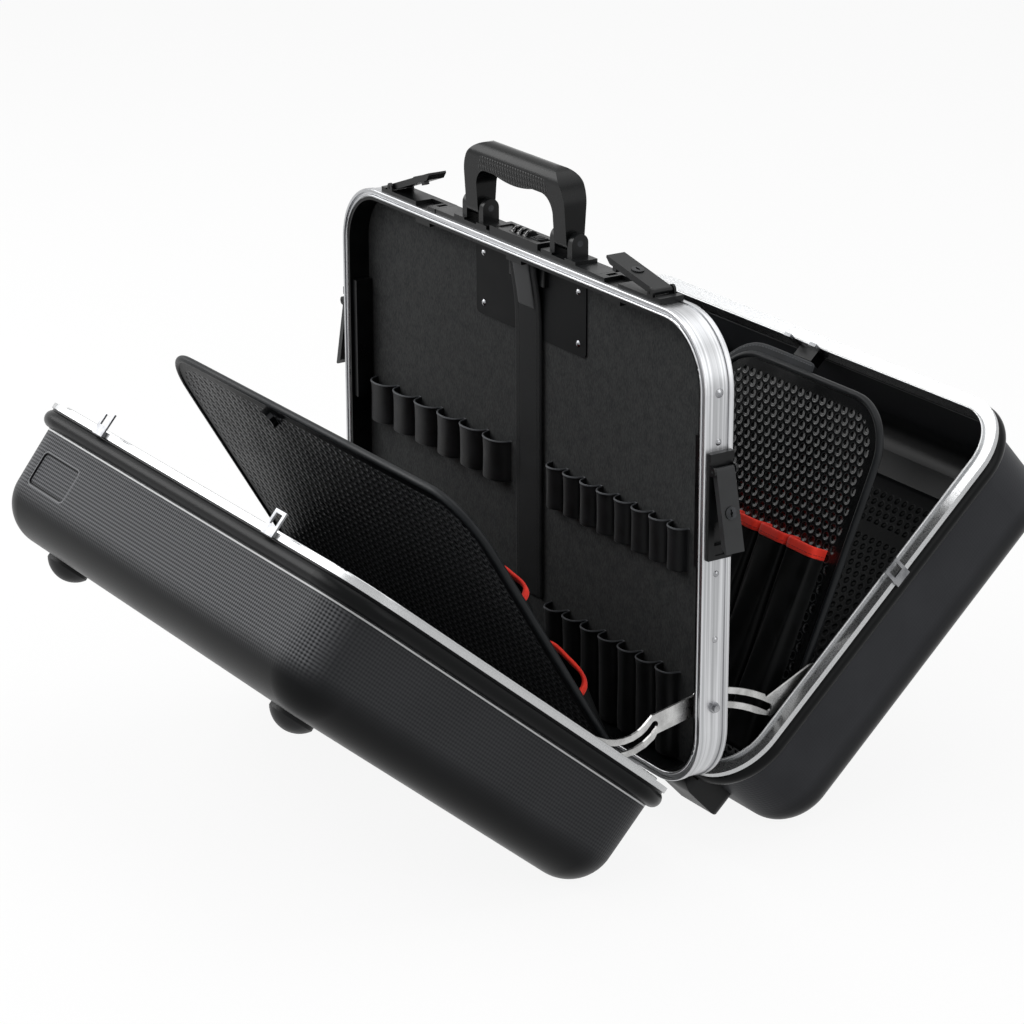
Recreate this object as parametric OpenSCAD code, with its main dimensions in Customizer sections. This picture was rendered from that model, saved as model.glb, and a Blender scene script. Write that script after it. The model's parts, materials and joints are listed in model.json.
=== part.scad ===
// Two-shell tool case with a central aluminium frame, standing open on its shells' lower edges.
// Millimetres, +Z up. X runs along the case's width, -Y is the front shell's side, Z = 0 is the floor.

/* [Case] */
// Width of the closed case
case_w = 488; // [470:2:500]
// Height of the closed case without handle and feet
case_h = 350; // [345:1:360]
// Outer radius of the corners seen from the front
corner_r = 50; // [47:1:54]
// Depth of the centre frame from front edge to rear edge
frame_d = 24.5; // [24:0.5:28]
// Opening angle of the front shell
front_open = 50; // [48:0.5:51]
// Opening angle of the rear shell
rear_open = 47; // [46:0.5:49]

/* [Shells] */
// Depth of each shell from its rim plane
shell_d = 96.7; // [92:0.1:100]
// Wall thickness of the moulded shells
shell_t = 3; // [2.5:0.1:3.5]
// Step from the outline in to the shell wall below the bead
wall_inset = 8; // [7.5:0.1:9]
// Draft of the walls in degrees
wall_draft = 2.2; // [1:0.1:2.4]
// Radius of the front shell's outer edge
front_edge_r = 34.5; // [32:0.5:36]
// Radius of the rear shell's outer edge
rear_edge_r = 24; // [22:0.5:28]
// Radius of the half-round bead below the rim
bead_r = 6.9; // [6:0.1:7.5]
// Depth at which the bead starts below the rim plane
bead_d = 4.2; // [4:0.1:5]
// Length of the label recess along the case
label_w = 56; // [50:1:58]
// Height of the label recess across the wall
label_d = 26; // [20:1:30]
// Depth of the label recess
label_cut = 1; // [0.5:0.1:1.5]

/* [Rims] */
// Width of the aluminium rim's face
rim_w = 11.3; // [10.5:0.1:11.5]
// Thickness of the rim's sheet
rim_t = 1.5; // [1.2:0.1:1.6]
// Height of the lip that enters the frame
lip_h = 2.2; // [1.5:0.1:2.4]

/* [Frame] */
// Thickness of the aluminium strip between its edges
strip_t = 1.8; // [1.5:0.1:2]
// Radial width of the frame's double edge
edge_w = 6.6; // [6:0.1:7]
// Depth of the double edge along Y
edge_d = 4.5; // [4:0.1:5]
// Thickness of the liner inside the edges
liner_t = 2.4; // [2:0.1:3]
// Thickness of the centre panel
panel_t = 3; // [2:0.1:3.2]
// Front face of the centre panel behind the middle plane
panel_y = 6.3; // [6:0.1:6.5]

/* [Handle] */
// Outer length of the handle
handle_w = 134; // [128:1:140]
// Height of the handle's top above the frame
handle_h = 68; // [64:1:72]
// Width of each leg seen from the front
leg_w = 16; // [14:0.5:18]
// Depth of the legs at their feet
leg_d = 15.4; // [14:0.1:16]
// Radius of the round grip
grip_r = 10.5; // [10:0.1:11.5]
// How far the grip bulges down in its middle
grip_bulge = 3; // [2:0.5:4]
// Height of the handle's pivot above the frame
handle_pivot_h = 17; // [16:0.5:19]
// Radius of the handle's pivot pins
handle_pin_r = 2.4; // [2:0.1:3]

/* [Latches] */
// Length of a latch base
latch_l = 78; // [76:1:80]
// Width of a latch base
latch_w = 20; // [19:0.5:20.5]
// Length of a lever from its pivot
lever_l = 58; // [56:0.5:60]
// Width of a lever
lever_w = 15.4; // [14:0.1:16]
// Thickness of a lever
lever_t = 4.8; // [4.4:0.1:5]
// Angle at which the right top lever stands open
top_right_open = 11; // [8:1:20]
// Angle at which the left top lever stands open
top_left_open = 20; // [12:1:28]
// Angle at which the side levers stand open
side_open = 13; // [8:1:20]
// Distance from a top latch's end to where the case's corner starts
latch_end_gap = 8; // [4:1:9]
// Distance of the side latches' middle below the case's top
latch_drop = 130; // [125:1:140]
// Radius of the pivot pins of the levers
lever_pin_r = 1.2; // [1:0.1:1.4]
// Side of a hasp's square loop
hasp_w = 14; // [12:0.5:15]
// Width of the square hole in a hasp
hasp_hole = 8.4; // [8:0.1:9]
// Thickness of a hasp
hasp_t = 1.5; // [1.2:0.1:1.6]
// Radius of the lock cylinders
key_r = 4.6; // [4:0.1:5]

/* [Combination lock] */
// Number of dials
dials = 3; // [3:1:3]
// Pitch of the dials
dial_pitch = 8; // [7.6:0.1:8.5]
// Radius of a dial
dial_r = 5.8; // [5.4:0.1:6]
// Thickness of a dial
dial_t = 5; // [4.6:0.1:5.2]
// Radius of the dials' axle
axle_r = 1.5; // [1.2:0.1:1.8]
// Half length of the lock's housing
lock_l = 32; // [30:1:34]

/* [Stays] */
// Height of the stay's stud on the frame
stud_z = 69; // [66:1:72]
// Height of the stay's pin on the shell's rim
pin_z = 107; // [104:1:110]
// Depth of the stay's pin below the rim plane
pin_d = 6; // [5.5:0.5:7]
// Half width of a stay
stay_r = 7.6; // [7:0.1:8]
// Thickness of a stay
stay_t = 1.8; // [1.5:0.1:2]
// Radius of studs and pins that the stays turn on
stud_r = 2.4; // [2:0.1:2.6]
// Turn of the front stay for each degree of its shell
front_stay_k = 1.5; // [1.45:0.01:1.55]
// Turn of the rear stay against its shell for each degree of the shell
rear_stay_k = -0.15; // [-0.2:0.01:-0.1]

/* [Tool boards] */
// How much narrower than the case the front tool board is
front_board_narrow = 58; // [52:2:70]
// How much shorter than the case the front tool board is
front_board_short = 58; // [54:1:70]
// Angle between the front board and its shell at rest
front_board_lift = 19.5; // [18:0.5:21]
// Depth of the front board's hinge in its shell
front_board_d = 17; // [16:0.5:20]
// Further angle by which the closed front board leans into its shell
front_board_sink = 4; // [3:0.5:5]
// Width of the rear tool board
rear_board_w = 202; // [190:2:206]
// How much shorter than the case the rear tool board is
rear_board_short = 54; // [50:1:70]
// Angle between the rear board and its shell at rest
rear_board_lift = 24.5; // [23:0.5:26]
// Depth of the rear board's hinge in its shell
rear_board_d = 46; // [42:1:48]
// Distance of the rear board's middle from the case's right side
rear_board_side = 126; // [122:1:132]
// Thickness of a board
board_t = 3; // [2.5:0.1:3.5]
// Radius of a board's upper corners
board_r = 42; // [36:1:46]
// Radius of the piping round a board
piping_r = 3; // [2.5:0.1:3.2]

/* [Pockets and straps] */
// Pitch of the wide loops on the left of the centre panel
wide_pitch = 33; // [32:0.5:34]
// Pitch of the narrow loops on the right
narrow_pitch = 22; // [21:0.5:22.5]
// Height of the loops
loop_h = 33; // [28:1:36]
// Upper edge of the loops on the closed case
loop_top = 189; // [180:1:195]
// Thickness of loop and pocket cloth
cloth_t = 1.4; // [1.2:0.1:1.6]
// Pitch of the deep pockets
deep_pitch = 24; // [22:0.5:24.5]
// Upper edge of the deep pockets on the closed case
deep_top = 78; // [70:1:84]
// Pitch of the pockets on the tool boards
board_pitch = 34; // [33:0.5:35]
// Height of the red binding on the boards' pockets
binding_h = 8; // [6:0.5:9]
// Width of the strap down the centre panel
strap_w = 36; // [32:1:40]

/* [Feet] */
// Distance of the round feet from the sides of the case
foot_side = 74; // [68:1:84]
// Distance of the round feet below the top of the case
foot_drop = 66; // [62:1:74]
// Radius of the round feet on the front shell's face
foot_r = 17; // [15:0.5:19]
// Height of the round feet
foot_h = 12; // [10:0.5:13]
// Length of the feet under the case
base_foot_l = 46; // [38:1:50]
// Height of the feet below the case's lower edge
base_foot_h = 11; // [10:0.5:12]

/* [Hidden] */
$fn = 96;
half_w = case_w / 2;
half_d = frame_d / 2;
foot_x = half_w - foot_side;
foot_z = case_h - foot_drop;
latch_x = half_w - corner_r - latch_end_gap - latch_l / 2;
latch_z = case_h - latch_drop;
fit = 0.3;
run = 0.05;
lap = 0.01;
seam = 0.4;
rim_y = half_d + seam;
hinge_y = half_d + seam / 2;
hinge_z = -5;
knuckle_r = 3.4;
hinge_l = 66;
hinge_x = 110;
hinge_pin_r = 1.6;
leaf_t = 1.5;
groove_w = 2.6;
bead_wall = 2;
strip_x = -0.8;
liner_in = edge_w + liner_t;
rim_x0 = 1.2;
rim_in = rim_x0 + rim_w;
board_hinge_r = 4;
board_pin_r = 1.5;
front_board_w = case_w - front_board_narrow;
front_board_l = case_h - front_board_short;
rear_board_l = case_h - rear_board_short;
rear_board_x = half_w - rear_board_side;
board_hinge_x = front_board_w / 2 - 65;
rear_hinge_x = rear_board_w / 2 - 46;
barrel_l = 34;
knob_x = -60;
knob_end = 16;
front_count = floor((front_board_w - 16) / board_pitch);
// Upper edge, height and bulge of each row of pockets on the front board
front_rows = [[215, 60, 12], [142, 112, 9]];
rear_count = floor((rear_board_w - 20) / board_pitch);
rear_top = 184;
rear_pocket_l = 160;
rear_rise = 12;
binding_t = 0.8;
board_gap = 1;
board_start = board_hinge_r + 0.5;
board_low_r = 12;
strap_t = 2;
strap_end = 75;
label_x = half_w - 81;
seam_w = 3;
loop_x = 27;
// Room between the loops and the liner, on the left and on the right
left_room = 8;
right_room = 30;
wide_count = floor((half_w - liner_in - loop_x - left_room) / wide_pitch);
narrow_count = floor((half_w - liner_in - loop_x - right_room) / narrow_pitch);
deep_count = floor((half_w - liner_in - loop_x - right_room) / deep_pitch);
wide_rise = 12;
narrow_rise = 10;
deep_rise = 12;
deep_floor = liner_in + 2;
base_foot_x = half_w - 76;
inner_half = half_w - rim_in;
front_stay_x = inner_half - 0.8 - stay_t;
rear_stay_x = front_stay_x - 0.9 - stay_t;
lever_pivot = 27;
lever_pz = 6.6;
latch_t = 4;
latch_ear_r = 3.4;
hasp_x = 20;
strip_top = case_h + strip_x;
lock_z = 8.6;
dial_z = 6.3;
ear_t = 6;
leg_x = handle_w / 2 - leg_w / 2;
plate_w = 147;
plate_h = 57;
plate_gap = 4.5;
plate_z = case_h - liner_in - plate_gap - plate_h / 2;
plate_t = 1.2;
stay_steps = 8;
front_low = low_edge(front_open, front_edge_r);
rear_low = low_edge(rear_open, rear_edge_r);
lift = -min(front_low, rear_low);
shift_y = (far_edge(front_open, front_edge_r) - far_edge(rear_open, rear_edge_r)) / 2;

// Drift of a shell's wall by its draft, from the bead to the outer edge, in whole hundredths
function drift(edge_r) = round((shell_d - edge_r - bead_end()) * tan(wall_draft) * 100) / 100;
// Height of the lowest point of an open shell's outer edge, from the frame's lower edge
function low_edge(open, edge_r) =
    let (reach = rim_y + shell_d - edge_r - hinge_y,
        rise = wall_inset + drift(edge_r) + edge_r - hinge_z)
    hinge_z - reach * sin(open) + rise * cos(open) - edge_r;
// Distance of an open shell's farthest point from the frame's middle plane
function far_edge(open, edge_r) =
    let (reach = rim_y + shell_d - edge_r - hinge_y,
        rise = case_h - wall_inset - drift(edge_r) - edge_r - hinge_z)
    hinge_y + reach * cos(open) + rise * sin(open) + edge_r;
function bead_end() = bead_d + 2 * bead_r;
// Height of a shell's inner face at a depth, on the closed case
function inner_z(d) = wall_inset + shell_t + max(0, d - bead_end()) * tan(wall_draft);
function board_hinge_z(d) = inner_z(d) + board_hinge_r + board_gap;
function turn(v, a) = [v[0] * cos(a) - v[1] * sin(a), v[0] * sin(a) + v[1] * cos(a)];

// Places in the plane across the case: first value outward from the middle plane, second value up
function pin_at(angle) =
    [hinge_y, hinge_z] + turn([rim_y + pin_d - hinge_y, pin_z - hinge_z], -angle);
function stud_at() = [0, stud_z];
function front_slot() =
    [for (i = [stay_steps:-1:0])
        let (closing = front_open * i / stay_steps)
        turn(pin_at(front_open - closing) - stud_at(), -front_stay_k * closing)];
function rear_slot() =
    [for (i = [stay_steps:-1:0])
        let (closing = rear_open * i / stay_steps)
        turn(stud_at() - pin_at(rear_open - closing), -(1 + rear_stay_k) * closing)];
function unit(v) = v / norm(v);
function side_of(v) = [-v[1], v[0]];
function tangent(path, i) = unit(path[min(i + 1, len(path) - 1)] - path[max(i - 1, 0)]);
function edge_of(path, r) = [for (i = [0:len(path) - 1]) path[i] + r * side_of(tangent(path, i))];
function reversed(path) = [for (i = [len(path) - 1:-1:0]) path[i]];

function cap(end, dir, r) = [for (k = [1:17]) end + r * turn(dir, 90 - 10 * k)];

// A band of half width r along a path, with round ends
module band(path, r) {
    last = len(path) - 1;
    polygon(concat(edge_of(path, r), cap(path[last], tangent(path, last), r),
        reversed(edge_of(path, -r)), cap(path[0], -tangent(path, 0), r)));
}

module rounded(w, h, r) {
    square([w - 2 * r, h], center = true);
    square([w, h - 2 * r], center = true);
    for (x = [-1, 1])
        for (y = [-1, 1])
            translate([x * (w / 2 - r), y * (h / 2 - r)]) circle(r);
}

// A board's outline from y = 0 up, with rounded lower corners and wider upper ones
module board_outline(w, l, r) {
    low = board_low_r;
    translate([-w / 2, low]) square([w, l - r - low]);
    translate([-w / 2 + low, 0]) square([w - 2 * low, l - r]);
    translate([-w / 2 + r, 0]) square([w - 2 * r, l]);
    for (x = [-1, 1]) {
        translate([x * (w / 2 - r), l - r]) circle(r);
        translate([x * (w / 2 - low), low]) circle(low);
    }
}

// Sweeps a profile round a rounded rectangle: profile x is outward from the outline, y runs along Z
module ring(w, h, r) {
    for (i = [0:3])
        rotate([0, 0, 90 * i]) {
            span = i % 2 == 0 ? h : w;
            reach = i % 2 == 0 ? w : h;
            translate([reach / 2 - r, 0, 0]) rotate([90, 0, 0])
                linear_extrude(span - 2 * r, center = true) translate([r, 0]) children();
            translate([reach / 2 - r, span / 2 - r, 0])
                rotate_extrude(angle = 90) translate([r, 0]) children();
        }
}

// Lifts the closed case's coordinates to where the open case stands on the floor
module stand() {
    translate([0, shift_y, lift]) children();
}

// Case coordinates: local x, local y up from the middle of the case, local z toward the front
module on_frame() {
    stand() translate([0, 0, case_h / 2]) rotate([90, 0, 0]) children();
}

// Coordinates of the closed front shell, turned open about its hinge
module front_side() {
    stand() translate([0, -hinge_y, hinge_z]) rotate([front_open, 0, 0])
        translate([0, hinge_y, -hinge_z]) children();
}

module rear_side() {
    stand() translate([0, hinge_y, hinge_z]) rotate([-rear_open, 0, 0])
        translate([0, -hinge_y, -hinge_z]) mirror([0, 1, 0]) children();
}

// Rim coordinates: local x, local y up from the middle of the case, local z is depth below the rim
module on_rim() {
    translate([0, -rim_y, case_h / 2]) rotate([90, 0, 0]) children();
}

module strip_profile() {
    translate([strip_x - strip_t, -half_d]) square([strip_t, frame_d]);
    for (s = [-1, 1])
        mirror([0, s > 0 ? 0 : 1]) {
            translate([-edge_w, half_d - edge_d]) square([edge_w, edge_d - bead_wall]);
            translate([-bead_wall, half_d - edge_d]) square([bead_wall, edge_d - bead_wall / 2]);
            translate([-bead_wall / 2, half_d - bead_wall / 2]) circle(bead_wall / 2, $fn = 32);
            translate([-edge_w, half_d - edge_d]) square([bead_wall, edge_d - bead_wall / 2]);
            translate([-edge_w + bead_wall / 2, half_d - bead_wall / 2])
                circle(bead_wall / 2, $fn = 32);
        }
}

module side_bore(z, r) {
    translate([0, z - case_h / 2, 0]) rotate([0, 90, 0]) cylinder(case_w + 2, r = r, center = true);
}

module frame_strip() {
    color("silver") on_frame() difference() {
        ring(case_w, case_h, corner_r) strip_profile();
        side_bore(stud_z, stud_r);
    }
}

module liner_profile() {
    web = half_d - edge_d;
    translate([-edge_w, -web]) square([edge_w + strip_x - strip_t, 2 * web]);
    translate([-liner_in, -half_d + 1]) square([liner_t, frame_d - 2]);
}

module frame_liner() {
    color("dimgray") on_frame() difference() {
        ring(case_w, case_h, corner_r) liner_profile();
        side_bore(stud_z, stud_r);
    }
}

// Gaps at the panel's edge: for the rear stays and for the two hooks of the middle lock
module panel_gaps() {
    gap_w = 14;
    for (s = [-1, 1]) {
        translate([s * (half_w - liner_in - gap_w / 2 + 1), stud_z + 13 - case_h / 2])
            square([gap_w + 2, 70], center = true);
        translate([s * hook_x(), case_h / 2 - liner_in - 9]) square([13, 20], center = true);
    }
}
function hook_x() = 16;

module centre_panel() {
    w = case_w - 2 * liner_in;
    h = case_h - 2 * liner_in;
    color("dimgray") on_frame() translate([0, 0, -panel_y - panel_t]) linear_extrude(panel_t)
        difference() {
            rounded(w, h, corner_r - liner_in);
            panel_gaps();
        }
}

// Panel coordinates: local x, local y up from the frame's lower edge, local z toward the front
module on_panel() {
    stand() translate([0, panel_y, 0]) rotate([90, 0, 0]) children();
}

module panel_plate() {
    color("dimgray") on_panel() translate([0, plate_z, 0]) linear_extrude(plate_t) difference() {
        rounded(plate_w, plate_h, 4);
        translate([0, case_h / 2 - plate_z]) panel_gaps();
    }
}

module panel_rivets() {
    color("silver") on_panel()
        for (x = [-1, 1])
            for (y = [-1, 1])
                translate([x * (plate_w / 2 - 10), plate_z + y * (plate_h / 2 - 9), plate_t])
                    rivet_head(2.6, 1.2);
}

// A low dome on a flat foot
module rivet_head(r, h) {
    sphere_r = (r * r + h * h) / (2 * h);
    intersection() {
        translate([0, 0, h - sphere_r]) sphere(sphere_r);
        cylinder(h, r = r);
    }
}

module frame_rivets() {
    color("silver") on_frame()
        for (s = [-1, 1])
            for (p = side_rivets())
                translate([s * (half_w + strip_x), p[0] - case_h / 2, 0]) rotate([0, s * 90, 0])
                    rivet_head(p[1], 1.4);
}

// Height and radius of each rivet on a short side
function side_rivets() = [[case_h - corner_r, 3.4], [latch_z + latch_l / 2 + 6, 2.4],
    [latch_z - latch_l / 2 - 12, 2.4], [stud_z + 51, 2.4]];

module stay_studs() {
    inner = rear_stay_x - fit;
    color("silver") on_frame()
        for (s = [-1, 1])
            mirror([s > 0 ? 0 : 1, 0, 0]) translate([0, stud_z - case_h / 2, 0]) rotate([0, 90, 0]) {
                translate([0, 0, inner - 1.4]) cylinder(half_w + strip_x - inner + 1.4, r = stud_r);
                translate([0, 0, inner - 1.4]) cylinder(1.4, r = 4.2);
                translate([0, 0, half_w + strip_x]) cylinder(2.4, r = 4, $fn = 6);
                translate([0, 0, half_w + strip_x]) cylinder(4.4, r = stud_r);
            }
}

// Hinge knuckles: a centre knuckle on the shell and two outer ones on the frame
module knuckle(x0, x1) {
    translate([x0, 0, 0]) rotate([0, 90, 0]) difference() {
        cylinder(x1 - x0, r = knuckle_r, $fn = 48);
        translate([0, 0, -1]) cylinder(x1 - x0 + 2, r = hinge_pin_r + run, $fn = 48);
    }
}

module leaf_web(x0, x1, side) {
    y0 = side > 0 ? hinge_pin_r + run + 0.4 : -knuckle_r;
    difference() {
        translate([x0, y0, 0]) cube([x1 - x0, knuckle_r - hinge_pin_r - run - 0.4, -hinge_z]);
        translate([x0 - 1, 0, 0]) rotate([0, 90, 0]) cylinder(x1 - x0 + 2, r = hinge_pin_r + run);
    }
}

module frame_leaf() {
    third = hinge_l / 3;
    for (p = [[-hinge_l / 2, -third / 2 - fit], [third / 2 + fit, hinge_l / 2]]) {
        knuckle(p[0], p[1]);
        leaf_web(p[0], p[1], 1);
    }
    translate([-hinge_l / 2, hinge_pin_r + run + 0.4, -hinge_z - leaf_t])
        cube([hinge_l, frame_d / 2 - 3, leaf_t]);
}

module frame_hinge_leaves() {
    color("gray") stand() translate([0, 0, hinge_z])
        for (m = [0, 1])
            mirror([0, m, 0])
                for (s = [-1, 1])
                    translate([s * hinge_x, -hinge_y, 0]) frame_leaf();
}

module hinge_pins() {
    color("silver") stand() translate([0, 0, hinge_z])
        for (m = [-1, 1])
            for (s = [-1, 1])
                translate([s * hinge_x, m * hinge_y, 0]) rotate([0, 90, 0])
                    cylinder(hinge_l + 1, r = hinge_pin_r, center = true, $fn = 48);
}

module shell_leaf() {
    third = hinge_l / 3;
    knuckle(-third / 2 + fit, third / 2 - fit);
    leaf_web(-third / 2 + fit, third / 2 - fit, -1);
    translate([-hinge_l / 2, -bead_end(), -hinge_z - leaf_t])
        cube([hinge_l, bead_end() - hinge_pin_r - run - 0.4, leaf_t]);
}

// Room for the frame's raised edges under whatever lies across its strip; x is the strip's length
module edge_room() {
    channel = frame_d - 2 * edge_d;
    for (s = [-1, 1])
        translate([-half_w, s * (channel / 2 + half_d) - half_d, -1]) cube([case_w, frame_d, 1 - strip_x]);
}

// Top of the frame: local z is height above the strip
module on_top() {
    stand() translate([0, 0, strip_top]) children();
}

module lock_strip() {
    pad_x = leg_x;
    pad_w = leg_w + 2 * (fit + ear_t + 8);
    end_x = latch_x - latch_l / 2 - fit;
    color("dimgray") on_top() difference() {
        union() {
            translate([-end_x, -9.5, 0]) cube([2 * end_x, 19, 4]);
            for (s = [-1, 1])
                translate([s * pad_x - pad_w / 2, -9.5, 0]) cube([pad_w, 19, 6.5]);
            for (s = [-1, 1])
                for (e = [-1, 1])
                    translate([s * pad_x + e * (leg_w / 2 + fit + ear_t / 2), 0, 0]) ear();
        }
        edge_room();
        translate([-lock_l - fit, -10, -1]) cube([2 * (lock_l + fit), 20, 12]);
        for (s = [-1, 1])
            translate([s * pad_x - leg_w / 2 - fit, -10, 5]) cube([leg_w + 2 * fit, 20, 30]);
        translate([-end_x - 1, 0, handle_pivot_h]) rotate([0, 90, 0])
            cylinder(2 * end_x + 2, r = handle_pin_r);
    }
}

// Bullet-shaped ear beside a handle leg
module ear() {
    rotate([90, 0, 90]) linear_extrude(ear_t, center = true) {
        translate([-7, 0]) square([14, handle_pivot_h]);
        translate([0, handle_pivot_h]) circle(7);
    }
}

module handle_pins() {
    color("silver") on_top()
        for (s = [-1, 1])
            translate([s * leg_x, 0, handle_pivot_h]) rotate([0, 90, 0])
                cylinder(leg_w + 2 * (fit + ear_t), r = handle_pin_r, center = true);
}

module handle() {
    top = handle_h;
    outer_r = 26;
    gap_r = 14;
    bulge_r = 110;
    bar = 2 * grip_r - 1;
    foot = handle_pivot_h - 8;
    inner_w = handle_w - 2 * leg_w;
    color("dimgray") on_top() difference() {
        intersection() {
            rotate([90, 0, 0]) linear_extrude(4 * grip_r, center = true) difference() {
                union() {
                    translate([0, top - outer_r - 4]) rounded(handle_w, 2 * outer_r + 8, outer_r);
                    translate([-handle_w / 2, foot]) square([handle_w, top - outer_r - foot]);
                }
                difference() {
                    union() {
                        translate([-inner_w / 2, -1]) square([inner_w, top - bar - gap_r + 1]);
                        translate([-inner_w / 2 + gap_r, 0]) square([inner_w - 2 * gap_r, top - bar]);
                        for (s = [-1, 1])
                            translate([s * (inner_w / 2 - gap_r), top - bar - gap_r]) circle(gap_r);
                    }
                    translate([0, top - bar - grip_bulge + bulge_r]) circle(bulge_r, $fn = 360);
                }
            }
            rotate([90, 0, 90]) linear_extrude(handle_w + 2, center = true) {
                translate([0, top - grip_r]) circle(grip_r);
                polygon([[-leg_d / 2, handle_pivot_h], [leg_d / 2, handle_pivot_h], [grip_r, top - grip_r],
                    [-grip_r, top - grip_r]]);
                translate([0, handle_pivot_h]) circle(leg_d / 2);
            }
        }
        translate([-handle_w / 2 - 1, 0, handle_pivot_h]) rotate([0, 90, 0])
            cylinder(handle_w + 2, r = handle_pin_r + run);
    }
}

module lock_body() {
    slot_w = dial_t + 0.8;
    color("dimgray") on_top() difference() {
        translate([-lock_l, -9.5, 0]) cube([2 * lock_l, 19, lock_z]);
        edge_room();
        for (i = [0:dials - 1])
            translate([dial_x(i), 0, 0]) cube([slot_w, 2 * dial_r + 1.2, 3 * lock_z], center = true);
        translate([0, 0, dial_z]) rotate([0, 90, 0])
            cylinder(dials * dial_pitch + 4, r = axle_r, center = true, $fn = 48);
        translate([button_x(), 0, lock_z]) cube([15, 9.6, 6], center = true);
        translate([-button_x(), 0, lock_z]) cube([9, 13, 2], center = true);
    }
}
function dial_x(i) = (i - (dials - 1) / 2) * dial_pitch;
function button_x() = 22;

module lock_axle() {
    color("silver") on_top() translate([0, 0, dial_z]) rotate([0, 90, 0])
        cylinder(dials * dial_pitch + 4, r = axle_r, center = true, $fn = 48);
}

// A dial with ten thumb grooves on its rim
module dial(i) {
    color("gray") on_top() translate([dial_x(i), 0, dial_z]) rotate([0, 90, 0]) difference() {
        cylinder(dial_t, r = dial_r, center = true);
        cylinder(dial_t + 2, r = axle_r + run, center = true, $fn = 48);
        for (k = [0:9])
            rotate([0, 0, 36 * k + 18]) translate([dial_r + 0.35, 0, 0])
                cylinder(dial_t + 2, r = 0.8, center = true, $fn = 24);
    }
}

module dial_1() { dial(0); }
module dial_2() { dial(1); }
module dial_3() { dial(2); }

module release_button() {
    color("gray") on_top() translate([button_x() - 2, 0, lock_z - 2.7]) {
        translate([-5, -4.5, 0]) cube([10, 9, 3.4]);
        for (k = [-1:1])
            translate([k * 2.4, 0, 3.4]) cube([1, 7, 1], center = true);
    }
}

// Latch coordinates: local x toward the lever's pivot, local y across, local z out of the frame
module latch_base() {
    ch_w = hasp_w + 3;
    color("dimgray") difference() {
        union() {
            translate([-latch_l / 2, -latch_w / 2, 0]) cube([latch_l, latch_w, latch_t]);
            for (s = [-1, 1])
                translate([lever_pivot, s * (latch_w / 2 - 0.9), 0]) rotate([90, 0, 0])
                    linear_extrude(1.8, center = true) {
                        translate([-latch_ear_r, 0]) square([2 * latch_ear_r, lever_pz]);
                        translate([0, lever_pz]) circle(latch_ear_r, $fn = 48);
                    }
            translate([latch_l / 2 - 6, -latch_w / 2, 0]) cube([6, latch_w, latch_t + 1]);
        }
        edge_room();
        translate([-hasp_x - ch_w / 2, -latch_w / 2 - 1, 0.9]) cube([ch_w, 16, latch_t]);
        translate([-latch_l / 2 + 3, -4, latch_t - 1]) cube([5, 8, 3]);
        translate([lever_pivot, 0, lever_pz]) rotate([90, 0, 0])
            cylinder(latch_w + 2, r = lever_pin_r + run, center = true, $fn = 32);
    }
}

// Side profile of a lever, lying closed along -x from its pivot
module lever_profile() {
    r = lever_t / 2;
    circle(r, $fn = 48);
    polygon([[0, r], [-lever_l, r], [-lever_l, r - 1.6], [-lever_l + 5, -r], [0, -r]]);
}

module lever(open) {
    color("gray") translate([lever_pivot, 0, lever_pz]) rotate([0, open, 0]) {
        rotate([90, 0, 0]) difference() {
            linear_extrude(lever_w, center = true) lever_profile();
            translate([-key_place(), lever_t / 2, 0]) rotate([-90, 0, 0])
                translate([0, 0, -key_sink()]) cylinder(4, r = key_r + run, $fn = 48);
        }
        translate([-(lever_pivot + hasp_x), -hasp_middle(), -lever_t / 2 - tooth_l()])
            linear_extrude(tooth_l() + 1) square([4.4, 4.3], center = true);
        rotate([90, 0, 0]) cylinder(latch_w - 0.6, r = lever_pin_r, center = true, $fn = 32);
    }
}
// The tooth under a lever and its place in the middle of a closed hasp's hole
function tooth_l() = 2.8;
function hasp_middle() = rim_y - hasp_start() - hasp_hole / 2;
function hasp_start() = hasp_w - hasp_hole - 2.6;
function key_place() = 30;
function key_sink() = 1.6;

module key_cylinder(open) {
    color("silver") translate([lever_pivot, 0, lever_pz]) rotate([0, open, 0])
        translate([-key_place(), 0, lever_t / 2 - key_sink() + run]) difference() {
            cylinder(2.4, r = key_r, $fn = 48);
            translate([0, 0, 2.4]) cube([5.2, 1.1, 2.6], center = true);
            translate([0, 0, 1.2]) cylinder(2, r = 1.2, $fn = 24);
        }
}

module top_right() { on_top() translate([latch_x, 0, 0]) children(); }
module top_left() { mirror([1, 0, 0]) top_right() children(); }
module side_right() {
    stand() translate([half_w + strip_x, 0, latch_z]) rotate([180, -90, 0]) children();
}
module side_left() { mirror([1, 0, 0]) side_right() children(); }

module latch_base_top_right() { top_right() latch_base(); }
module latch_base_top_left() { top_left() latch_base(); }
module latch_base_side_right() { side_right() latch_base(); }
module latch_base_side_left() { side_left() latch_base(); }
module lever_top_right() { top_right() lever(top_right_open); }
module lever_top_left() { top_left() lever(top_left_open); }
module lever_side_right() { side_right() lever(side_open); }
module lever_side_left() { side_left() lever(side_open); }
module key_top_right() { top_right() key_cylinder(top_right_open); }
module key_top_left() { top_left() key_cylinder(top_left_open); }
module key_side_right() { side_right() key_cylinder(side_open); }
module key_side_left() { side_left() key_cylinder(side_open); }

// Small blocks inside the frame behind the latches and the middle lock
module latch_keepers() {
    keeper_x = latch_x - hasp_x;
    color("dimgray") stand() {
        for (x = [-keeper_x, 0, keeper_x])
            translate([x, -half_d + 6, case_h - liner_in - 2]) cube([20, 6, 4], center = true);
        for (s = [-1, 1])
            translate([s * (half_w - liner_in - 3), -2, latch_z]) cube([6, 14, 96], center = true);
    }
}

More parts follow.
